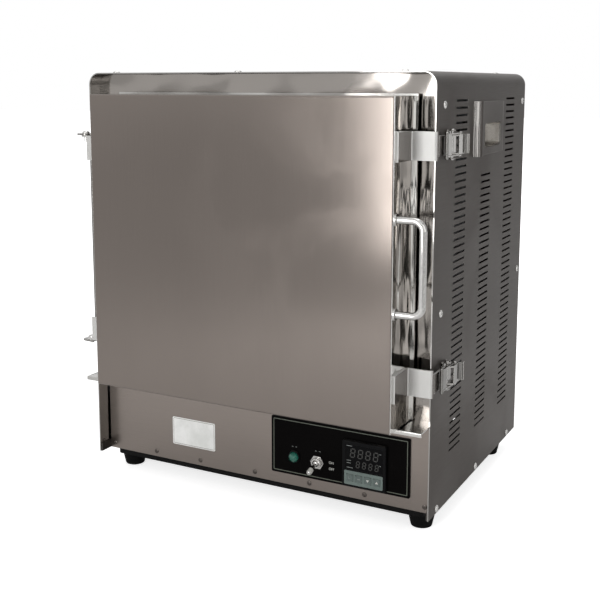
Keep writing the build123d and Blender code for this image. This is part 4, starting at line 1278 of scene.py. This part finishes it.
@dataclass
class Gasket:
    """Round-braided fibre ropes laid side by side round the chamber's mouth."""

    finishes: Finishes
    seat_width: float = 12.0 * MM
    least_corner: float = 2.0 * MM
    ropes: int = 3
    strands: int = 3
    strand_sides: int = 7
    strand_share: float = 0.49
    sweep_share: float = 0.5
    twist_pitch: float = 11.0 * MM
    samples: int = 520

    def tree(self) -> tuple[NodeTree, dict[str, str]]:
        """Node tree that twists strands about a closed path.

        Returns:
            The tree and the identifier of each named input.
        """
        tree = bpy.data.node_groups.new("twisted_rope", "GeometryNodeTree")
        sockets = tree.interface
        sockets.new_socket("Path", in_out="INPUT", socket_type="NodeSocketGeometry")
        names = {}
        kinds = {"Radius": "Float", "Turns": "Float", "Samples": "Int", "Material": "Material"}
        for label, kind in kinds.items():
            made = sockets.new_socket(label, in_out="INPUT", socket_type=f"NodeSocket{kind}")
            names[label] = made.identifier
        sockets.new_socket("Geometry", in_out="OUTPUT", socket_type="NodeSocketGeometry")
        graph = Graph(tree)
        given, out = graph.node("NodeGroupInput"), graph.node("NodeGroupOutput")
        path = graph.node("GeometryNodeMeshToCurve")
        graph.feed(path, 0, given.outputs["Path"])
        even = graph.node("GeometryNodeResampleCurve")
        graph.feed(even, "Curve", path.outputs[0])
        graph.feed(even, "Count", given.outputs["Samples"])
        share = graph.node("GeometryNodeSplineParameter").outputs["Factor"]
        tangent = graph.node("GeometryNodeInputTangent").outputs[0]
        across = graph.node("ShaderNodeVectorMath", operation="CROSS_PRODUCT")
        graph.feed(across, 0, tangent)
        graph.feed(across, 1, (0.0, 1.0, 0.0))
        sweep_radius = graph.math("MULTIPLY", given.outputs["Radius"], self.sweep_share)
        gather = graph.node("GeometryNodeJoinGeometry")
        for strand in range(self.strands):
            whole_angle = graph.math("MULTIPLY", given.outputs["Turns"], FULL_TURN)
            turns = graph.math("MULTIPLY", share, whole_angle)
            angle = graph.math("ADD", turns, FULL_TURN * strand / self.strands)
            side = graph.node("ShaderNodeVectorMath", operation="SCALE")
            graph.feed(side, 0, across.outputs[0])
            graph.feed(side, "Scale", graph.math("MULTIPLY", graph.math("COSINE", angle), sweep_radius))
            lift = graph.node("ShaderNodeCombineXYZ")
            graph.feed(lift, "Y", graph.math("MULTIPLY", graph.math("SINE", angle), sweep_radius))
            offset = graph.node("ShaderNodeVectorMath", operation="ADD")
            graph.feed(offset, 0, side.outputs[0])
            graph.feed(offset, 1, lift.outputs[0])
            moved = graph.node("GeometryNodeSetPosition")
            graph.feed(moved, "Geometry", even.outputs[0])
            graph.feed(moved, "Offset", offset.outputs[0])
            ring = graph.node("GeometryNodeCurvePrimitiveCircle")
            graph.feed(ring, "Resolution", self.strand_sides)
            graph.feed(ring, "Radius", graph.math("MULTIPLY", given.outputs["Radius"], self.strand_share))
            tube = graph.node("GeometryNodeCurveToMesh")
            graph.feed(tube, 0, moved.outputs[0])
            graph.feed(tube, 1, ring.outputs[0])
            tree.links.new(tube.outputs[0], gather.inputs[0])
        real = graph.node("GeometryNodeRealizeInstances")
        graph.feed(real, 0, gather.outputs[0])
        dressed = graph.node("GeometryNodeSetMaterial")
        graph.feed(dressed, "Geometry", real.outputs[0])
        graph.feed(dressed, "Material", given.outputs["Material"])
        graph.feed(out, 0, dressed.outputs[0])
        return tree, names

    def build(self) -> Object:
        """Lay the ropes in the gasket's place.

        Returns:
            The gasket.
        """
        low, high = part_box("door_gasket")
        rope_radius = (high[1] - low[1]) / 2
        lane = self.seat_width / self.ropes
        centre = middle("door_gasket")
        tree, names = self.tree()
        whole = bmesh.new()
        for rope in range(self.ropes):
            inset = lane * (rope + 0.5)
            width, height = high[0] - low[0] - 2 * inset, high[2] - low[2] - 2 * inset
            outline = rounded_outline(width, height, max(self.least_corner, self.seat_width - inset), 8)
            corners = [(centre.x + x, centre.y, centre.z + z) for x, z in outline]
            path = bpy.data.meshes.new("rope_path")
            path.from_pydata(corners, [(at, (at + 1) % len(corners)) for at in range(len(corners))], [])
            carrier = put_in_scene("rope_carrier", path)
            modifier = carrier.modifiers.new("twist", "NODES")
            modifier.node_group = tree
            modifier[names["Radius"]] = rope_radius
            modifier[names["Turns"]] = float(round(2 * (width + height) / self.twist_pitch))
            modifier[names["Samples"]] = self.samples
            modifier[names["Material"]] = self.finishes["fibre_rope"]
            mesh = plain_copy(carrier, "rope")
            whole.from_mesh(mesh)
            bpy.data.meshes.remove(mesh)
            bpy.data.objects.remove(carrier)
        bmesh.ops.recalc_face_normals(whole, faces=whole.faces)
        gasket = piece("braided_gasket", whole, self.finishes["fibre_rope"], "cabinet", 80.0)
        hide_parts("door_gasket")
        return gasket


@dataclass
class Door:
    """Door skins, handle, straps and arms."""

    finishes: Finishes
    arm_sheet: float = 2.1 * MM
    arm_screw: tuple[float, float] = (2.8 * MM, 1.3 * MM)
    arm_screw_setback: float = 16.0 * MM
    screw_turn: float = 3.1

    def dress(self) -> None:
        """Give the door's nodes their finishes."""
        give = self.finishes.dress
        give("door_sheet", "door_shell")
        give("bright_sheet", "door_back_plate")
        give("fibre_board", "door_insulation")
        give("bright_bar", "door_handle", "handle_collars")
        give("strap_sheet", "latch_strap_upper", "latch_strap_lower", "hinge_arm_upper", "hinge_arm_lower")

    def arm_screws(self) -> Object:
        """Two pan heads on each hinge arm, on the door's left side.

        Returns:
            The screws.
        """
        places = []
        for node in ("hinge_arm_upper", "hinge_arm_lower"):
            low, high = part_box(node)
            for share in (0.25, 0.75):
                level = low[2] + (high[2] - low[2]) * share
                place = Vector((high[0] - self.arm_sheet, low[1] + self.arm_screw_setback, level))
                places.append((place, Vector((-1, 0, 0))))
        return REPEATS.build(
            "arm_screws", screw_head(*self.arm_screw), places, self.finishes["screw_steel"],
            "door", turn=self.screw_turn,
        )


@dataclass
class Latches:
    """The two toggle latches."""

    finishes: Finishes

    def dress(self) -> None:
        """Give the latches' nodes their finishes."""
        give = self.finishes.dress
        for level in ("upper", "lower"):
            give("latch_steel", *(f"latch_{part}_{level}" for part in ("base", "lever", "bail")))
            give("bright_bar", f"bail_pin_{level}")
        give("bright_bar", "latch_pivot_pins")


@dataclass(frozen=True)
class DigitRow:
    """One row of the display, placed from the window's lower left corner."""

    left: float
    base: float
    height: float
    pitch: float
    stroke: float


@dataclass
class ControlPanel:
    """Black plate with its border, the controller's display and keys, the lamp and the switch."""

    finishes: Finishes
    border_inset: float = 2.4 * MM
    border_line: float = 0.8 * MM
    ink: float = 0.05 * MM
    word_size: float = 3.6 * MM
    word_gap: float = 12.5 * MM
    word_drops: tuple[tuple[str, float], ...] = (("ON", -0.4 * MM), ("OFF", 6.2 * MM))
    digit_slant: float = math.radians(7)
    digit_width: float = 0.56
    digit_rows: tuple[DigitRow, ...] = (
        DigitRow(5.6 * MM, 12.2 * MM, 10.0 * MM, 8.4 * MM, 1.15 * MM),
        DigitRow(12.2 * MM, 2.2 * MM, 7.4 * MM, 6.9 * MM, 0.9 * MM),
    )
    digits_in_row: int = 4
    window_marks: tuple[tuple[float, float, float], ...] = (
        (2.2, 24.0, 6.0), (2.4, 8.6, 4.6), (2.4, 6.0, 4.6), (2.4, 1.2, 7.0),
        (38.2, 20.4, 1.8), (38.2, 8.4, 1.8),
    )
    dash_height: float = 0.55 * MM
    dash: float = 1.8 * MM
    lamp_sides: int = 12
    cap_length: float = 7.0 * MM
    cap_wall: float = 0.25 * MM
    lever_tip_radius: float = 2.6 * MM

    def dress(self) -> None:
        """Give the panel's nodes their finishes."""
        give = self.finishes.dress
        give("plate_black", "control_plate")
        give("moulded_black", "temperature_controller")
        give("smoked_window", "display_window")
        give("keypad_grey", "keypad_plate")
        give("key_grey", *[f"controller_key_{number}" for number in range(1, 5)])
        give("bright_bar", "toggle_switch", "switch_nut", "switch_lever")

    def border(self) -> Object:
        """Printed line just inside the plate's edge.

        Returns:
            The line.
        """
        low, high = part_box("control_plate")
        centre = middle("control_plate")
        width, height = high[0] - low[0], high[2] - low[2]
        outer, inner = frame_outlines(width, height, self.border_inset, self.border_line)
        line = placed(slab(outer, self.ink, [inner]), facing_front(centre.x, low[1], centre.z))
        return piece("plate_border", line, self.finishes["border_ink"], "cabinet")

    def words(self) -> list[Object]:
        """ON and OFF beside the switch.

        Returns:
            The two words.
        """
        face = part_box("control_plate")[0][1]
        nut = middle("switch_nut")
        made = []
        for text, drop in self.word_drops:
            curve = bpy.data.curves.new("word_" + text, "FONT")
            curve.body = text
            curve.size = self.word_size
            curve.extrude = self.ink / 2
            writer = put_in_scene("word_" + text, curve)
            mesh = plain_copy(writer, "word")
            bpy.data.objects.remove(writer)
            shape = bmesh.new()
            shape.from_mesh(mesh)
            outward(shape)
            placed(shape, facing_front(nut.x + self.word_gap, face - self.ink / 2, nut.z - drop))
            made.append(piece(f"word_{text.lower()}", shape, self.finishes["white_ink"], "cabinet"))
        return made

    def digit(self, width: float, height: float, stroke: float) -> Shape:
        """The seven segments of one unlit digit, from its lower left corner.

        Args:
            width: Width of the digit.
            height: Height of the digit.
            stroke: Width of a segment.

        Returns:
            The segments.
        """
        gap, half = stroke * 0.22, stroke / 2
        levels = (half, height / 2, height - half)
        bars = [((half + gap, level), (width - half - gap, level)) for level in levels]
        for side in (half, width - half):
            for start, end in ((half + gap, height / 2 - gap), (height / 2 + gap, height - half - gap)):
                bars.append(((side, start), (side, end)))
        shapes = []
        for start, end in bars:
            first, last = Vector(start), Vector(end)
            along = (last - first).normalized() * half
            across = Vector((-along.y, along.x))
            corners = [
                first, first + along - across, last - along - across,
                last, last - along + across, first + along + across,
            ]
            slanted = [(point.x + point.y * math.tan(self.digit_slant), point.y) for point in corners]
            shapes.append(slab(slanted, self.ink))
        return joined(shapes)

    def display(self) -> Object:
        """Two rows of four unlit digits behind the window.

        Returns:
            The digits.
        """
        low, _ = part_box("display_window")
        shapes = []
        for row in self.digit_rows:
            for place in range(self.digits_in_row):
                digit = self.digit(row.height * self.digit_width, row.height, row.stroke)
                left = low[0] + row.left + place * row.pitch
                shapes.append(placed(digit, facing_front(left, low[1], low[2] + row.base)))
        return piece("unlit_digits", joined(shapes), self.finishes["unlit_segment"], "cabinet")

    def marks(self) -> Object:
        """Small printed dashes beside the digits and over the lamp and the switch.

        Returns:
            The dashes.
        """
        window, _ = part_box("display_window")
        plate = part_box("control_plate")[0][1]
        bars = []
        for x, z, length in self.window_marks:
            bars.append((window[0] + x * MM, window[1], window[2] + z * MM, length * MM))
        for node, gap in (("pilot_lamp", 4.0 * MM), ("switch_nut", 4.4 * MM)):
            centre, top = middle(node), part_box(node)[1][2]
            for side in (-2.2 * MM, 2.2 * MM):
                bars.append((centre.x + side - self.dash / 2, plate, top + gap, self.dash))
        shapes = []
        for x, y, z, length in bars:
            outline = [(0, 0), (length, 0), (length, self.dash_height), (0, self.dash_height)]
            shapes.append(placed(slab(outline, self.ink), facing_front(x, y, z)))
        return piece("printed_marks", joined(shapes), self.finishes["pale_ink"], "cabinet")

    def key_symbols(self) -> list[Object]:
        """Printed symbols: a bent line and three arrows, each on its own key.

        Returns:
            The four symbols.
        """
        made = []
        arrow = [(-1.7, -1.1), (1.7, -1.1), (0.0, 1.5)]
        shapes = {
            1: [(-1.6, 1.2), (-1.6, -1.2), (0.9, -1.2), (0.9, -0.7), (-1.1, -0.7), (-1.1, 1.2)],
            2: [(-1.5, -0.4), (0.6, -0.4), (0.6, -1.2), (1.7, 0.0), (0.6, 1.2), (0.6, 0.4), (-1.5, 0.4)],
            3: [(x, -y) for x, y in reversed(arrow)],
            4: arrow,
        }
        for number, corners in shapes.items():
            centre = middle(f"controller_key_{number}")
            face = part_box(f"controller_key_{number}")[0][1]
            outline = [(x * MM, y * MM) for x, y in corners]
            symbol = placed(slab(outline, self.ink), facing_front(centre.x, face, centre.z))
            finish = self.finishes["white_ink"] if number > 2 else self.finishes["pale_ink"]
            made.append(piece(f"key_symbol_{number}", symbol, finish, f"key_{number}"))
        return made

    def lamp(self) -> Object:
        """Cut lens of the pilot lamp in a thin black ring.

        Returns:
            The lens.
        """
        low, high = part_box("pilot_lamp")
        centre, radius, height = middle("pilot_lamp"), (high[0] - low[0]) / 2, high[1] - low[1]
        place = facing_front(centre.x, high[1], centre.z)
        bore, rim = radius * 0.86, 1.8 * MM
        ring_profile = [
            (bore, 0.0), (radius, 0.0), (radius, 1.2 * MM), (radius * 0.93, rim), (bore, rim), (bore, 0.0),
        ]
        piece("lamp_ring", placed(turned(ring_profile, 36), place), self.finishes["moulded_black"], "cabinet")
        shape = bmesh.new()
        sides, rings = self.lamp_sides, []
        facets = ((0.85, 0.0), (0.85, 0.42), (0.70, 0.70), (0.42, 0.93), (0.14, 1.0))
        for row, (share, level) in enumerate(facets):
            shift = math.pi / sides * (row % 2)
            rings.append(ring_of(shape, radius * share, height * level, sides, shift))
        for row, (lower, upper) in enumerate(zip(rings, rings[1:])):
            for step in range(sides):
                after = (step + 1) % sides
                if row % 2 == 0:
                    shape.faces.new((lower[step], lower[after], upper[step]))
                    shape.faces.new((lower[after], upper[after], upper[step]))
                else:
                    shape.faces.new((lower[step], lower[after], upper[after]))
                    shape.faces.new((lower[step], upper[after], upper[step]))
        shape.faces.new(rings[-1])
        shape.faces.new(list(reversed(rings[0])))
        bmesh.ops.recalc_face_normals(shape, faces=shape.faces)
        lens = piece("cut_lens", placed(shape, place), self.finishes["lamp_green"], "cabinet", 5.0)
        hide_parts("pilot_lamp")
        return lens

    def lever_cap(self) -> Object:
        """White sleeve over the tip of the switch lever.

        Returns:
            The sleeve.
        """
        low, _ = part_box("switch_lever")
        joint = next(item for item in frame["joints"] if item["child"] == "switch_lever")
        pivot = Vector(joint["pos_m"])
        tip_radius, length, wall = self.lever_tip_radius, self.cap_length, self.cap_wall
        tip = Vector((pivot.x, low[1] + tip_radius * 0.7, low[2] + tip_radius * 0.9))
        along = (tip - pivot).normalized()
        reach = (tip - pivot).length
        profile = [
            (0.0, 0.0), (tip_radius * 0.82, 0.0), (tip_radius * 0.95 + wall, 0.5 * MM),
            (tip_radius + wall * 0.6, length * 0.8), (tip_radius * 0.7, length * 0.97), (0.0, length),
        ]
        turn = Vector((0, 0, 1)).rotation_difference(along).to_matrix().to_4x4()
        start = pivot + along * (reach - length + tip_radius * 0.45)
        cap = placed(turned(profile, 28), Matrix.Translation(start) @ turn)
        return piece("lever_cap", cap, self.finishes["white_nylon"], "switch_lever")


# ---------------------------------------------------------------- studio
@dataclass(frozen=True)
class SoftBox:
    """A rectangular area lamp."""

    name: str
    place: tuple[float, float, float]
    aim: tuple[float, float, float]
    size: tuple[float, float]
    power: float

    def build(self) -> Object:
        """Make the lamp.

        Returns:
            The lamp.
        """
        lamp = bpy.data.lights.new(self.name, "AREA")
        lamp.shape = "RECTANGLE"
        lamp.size, lamp.size_y = self.size
        lamp.energy = self.power
        holder = put_in_scene(self.name, lamp)
        holder.location = self.place
        direction = Vector(self.aim) - Vector(self.place)
        holder.rotation_euler = direction.to_track_quat("-Z", "Y").to_euler()
        return holder


@dataclass(frozen=True)
class Bands:
    """Upright pale and dark bands round the room, which only metal reflects."""

    rate: float
    phase: float
    dark_end: float
    pale_end: float

    def mask(self, graph: Graph, parts: Node, drift: object = 0.0) -> Socket:
        """The bands by bearing round Z.

        Args:
            graph: The graph that gets the nodes.
            parts: Separated coordinates of the place or direction.
            drift: Angle added to the bearing, which bends the bands.

        Returns:
            A mask of 0 in the dark bands and 1 in the pale ones.
        """
        bearing = graph.math("ARCTAN2", parts.outputs["X"], parts.outputs["Y"])
        turns = graph.math("ADD", graph.math("MULTIPLY", bearing, self.rate), drift)
        swing = graph.math("SINE", graph.math("ADD", turns, self.phase))
        return graph.span(swing, self.dark_end, self.pale_end)


@dataclass
class Studio:
    """White floor and world, soft lamps and the camera."""

    camera_place: tuple[float, float, float] = (0.5091, -1.0031, 0.4399)
    yaw: float = 27.76
    pitch: float = 8.29
    roll: float = 0.03
    lens: float = 59.05
    shift_y: float = -0.12
    room_bands: Bands = Bands(44.0, 2.2, -0.1, 0.35)
    room_drift: float = 4.0
    room_dark: float = 0.03
    room_pale: float = 1.1
    room_left: float = 0.9
    room_soft: float = 0.55
    floor_bands: Bands = Bands(18.0, 0.6, -0.15, 0.3)
    floor_half_width: float = 12.0
    floor_streak: float = 0.6
    floor_reflected: float = 0.15
    floor_dark: Colour = (0.06, 0.058, 0.055)
    lamps: tuple[SoftBox, ...] = (
        SoftBox("key_box", (-0.09, -1.15, 0.4), (-0.09, 0.0, 0.4), (0.29, 0.54), 3.5),
        SoftBox("fill_box", (1.7, -0.5, 0.8), (0.1, 0.0, 0.2), (0.7, 1.2), 2.2),
        SoftBox("top_box", (0.0, 0.2, 1.7), (0.0, 0.0, 0.3), (1.2, 1.2), 6.5),
    )

    def floor(self) -> Object:
        """A wide pale floor that keeps the object's shadow.

        Returns:
            The floor.
        """
        shape = bmesh.new()
        bmesh.ops.create_grid(shape, x_segments=4, y_segments=4, size=self.floor_half_width)
        ground = put_in_scene("studio_floor", plain_mesh("studio_floor", shape))
        made = Surface("floor_white")
        graph = made.graph
        ray = graph.node("ShaderNodeLightPath").outputs
        direct = graph.math("ADD", ray["Is Camera Ray"], ray["Is Transmission Ray"], clamp=True)
        place = graph.node("ShaderNodeTexCoord").outputs["Object"]
        parts = graph.node("ShaderNodeSeparateXYZ")
        graph.feed(parts, 0, place)
        # Seen only in reflections, the right-hand floor is painted with dark bands and pale glowing streaks:
        # painted reflections that the metal shows.
        band = self.floor_bands.mask(graph, parts)
        right_hand = graph.span(parts.outputs["X"], 0.35, 0.6)
        shaded = graph.math("MULTIPLY", right_hand, graph.math("SUBTRACT", 1.0, band))
        mirrored = graph.math("MULTIPLY", ray["Is Glossy Ray"], shaded)
        streak = graph.math("MULTIPLY", graph.math("MULTIPLY", right_hand, band), self.floor_streak)
        brighter = graph.math("MAXIMUM", streak, self.floor_reflected)
        reflected = graph.math("MULTIPLY", ray["Is Glossy Ray"], brighter)
        unshaded = graph.math("SUBTRACT", 1.0, shaded)
        seen = graph.math("ADD", direct, graph.math("MULTIPLY", reflected, unshaded))
        tone = graph.span(graph.noise(place, 3.0), *NOISE_RANGE)
        reach = graph.node("ShaderNodeVectorMath", operation="LENGTH")
        graph.feed(reach, 0, place)
        pale = graph.blend(tone, (0.86, 0.86, 0.86, 1.0), (0.88, 0.88, 0.88, 1.0))
        glow = graph.span(reach.outputs["Value"], 0.3, 1.0, 0.72, 1.25)
        made.set(
            Base_Color=graph.blend(mirrored, pale, shade(self.floor_dark)), Roughness=0.9,
            Emission_Color=WHITE, Emission_Strength=graph.math("MULTIPLY", seen, glow),
            Specular_IOR_Level=0.0,
        )
        ground.data.materials.append(made.material)
        return ground

    def world(self) -> None:
        """White background and a softer grey light from all round.

        Metal reflects upright bands on the right hand, and a plain pale room on the left.
        """
        world = bpy.data.worlds.new("studio_world")
        world.use_nodes = True
        graph = Graph(world.node_tree)
        background = world.node_tree.nodes["Background"]
        graph.feed(background, "Color", WHITE)
        ray = graph.node("ShaderNodeLightPath").outputs
        plain = graph.math("ADD", ray["Is Camera Ray"], ray["Is Transmission Ray"], clamp=True)
        direction = graph.node("ShaderNodeTexCoord").outputs["Generated"]
        parts = graph.node("ShaderNodeSeparateXYZ")
        graph.feed(parts, 0, direction)
        drift = graph.math("MULTIPLY", self.room_drift, graph.noise(direction, 1.6, 2.0, 0.5))
        mask = self.room_bands.mask(graph, parts, drift)
        contrast = graph.math("MULTIPLY", mask, self.room_pale - self.room_dark)
        bands = graph.math("ADD", self.room_dark, contrast)
        nearer = graph.span(parts.outputs["Y"], -0.2, 0.2, 1.8, 1.0)
        right_hand = graph.span(parts.outputs["X"], 0.03, 0.18)
        left_hand = graph.math("SUBTRACT", 1.0, right_hand)
        banded = graph.math("MULTIPLY", graph.math("MULTIPLY", bands, nearer), right_hand)
        room = graph.math("ADD", banded, graph.math("MULTIPLY", self.room_left, left_hand))
        mirrored = graph.math("MULTIPLY", room, ray["Is Glossy Ray"])
        matt = graph.math("MULTIPLY", self.room_soft, graph.math("SUBTRACT", 1.0, ray["Is Glossy Ray"]))
        unseen = graph.math("SUBTRACT", 1.0, plain)
        indoors = graph.math("MULTIPLY", graph.math("ADD", mirrored, matt), unseen)
        graph.feed(background, "Strength", graph.math("ADD", indoors, plain))
        bpy.context.scene.world = world

    def camera(self) -> None:
        """Camera at the front right, a little above the object's middle."""
        data = bpy.data.cameras.new("studio_camera")
        data.lens, data.sensor_width = self.lens, 36.0
        data.shift_y = self.shift_y
        data.clip_start, data.clip_end = 0.02, 60.0
        holder = put_in_scene("studio_camera", data)
        holder.location = self.camera_place
        turn = Matrix.Identity(3)
        for angle, axis in ((self.yaw, "Z"), (90.0 - self.pitch, "X"), (self.roll, "Z")):
            turn = turn @ Matrix.Rotation(math.radians(angle), 3, axis)
        holder.rotation_euler = turn.to_euler()
        bpy.context.scene.camera = holder

    def build(self) -> None:
        """Set the whole studio up."""
        self.floor()
        self.world()
        for lamp in self.lamps:
            lamp.build()
        self.camera()
        bpy.context.scene.view_settings.view_transform = "Standard"


def report(label: str, made: Iterable[Object]) -> None:
    """Log the size of each new piece.

    Args:
        label: Name of the sub-assembly.
        made: Its new pieces.
    """
    for item in made:
        log.info("%s: %s, %d faces", label, item.name, len(item.data.polygons))


def main() -> None:
    """Dress the furnace, add its fittings and set the studio up."""
    logging.basicConfig(level=logging.INFO, format="%(name)s %(message)s")
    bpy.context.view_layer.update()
    finishes = Finishes()
    cabinet = Cabinet(finishes)
    cabinet.dress()
    report("cabinet", [*cabinet.screws(), cabinet.feet(), cabinet.bracket_screws(), cabinet.label()])
    report("gasket", [Gasket(finishes).build()])
    door = Door(finishes)
    door.dress()
    report("door", [door.arm_screws()])
    Latches(finishes).dress()
    panel = ControlPanel(finishes)
    panel.dress()
    prints = [panel.border(), *panel.words(), panel.display(), panel.marks(), *panel.key_symbols()]
    report("panel", [*prints, panel.lamp(), panel.lever_cap()])
    Studio().build()


if __name__ == "__main__":
    main()
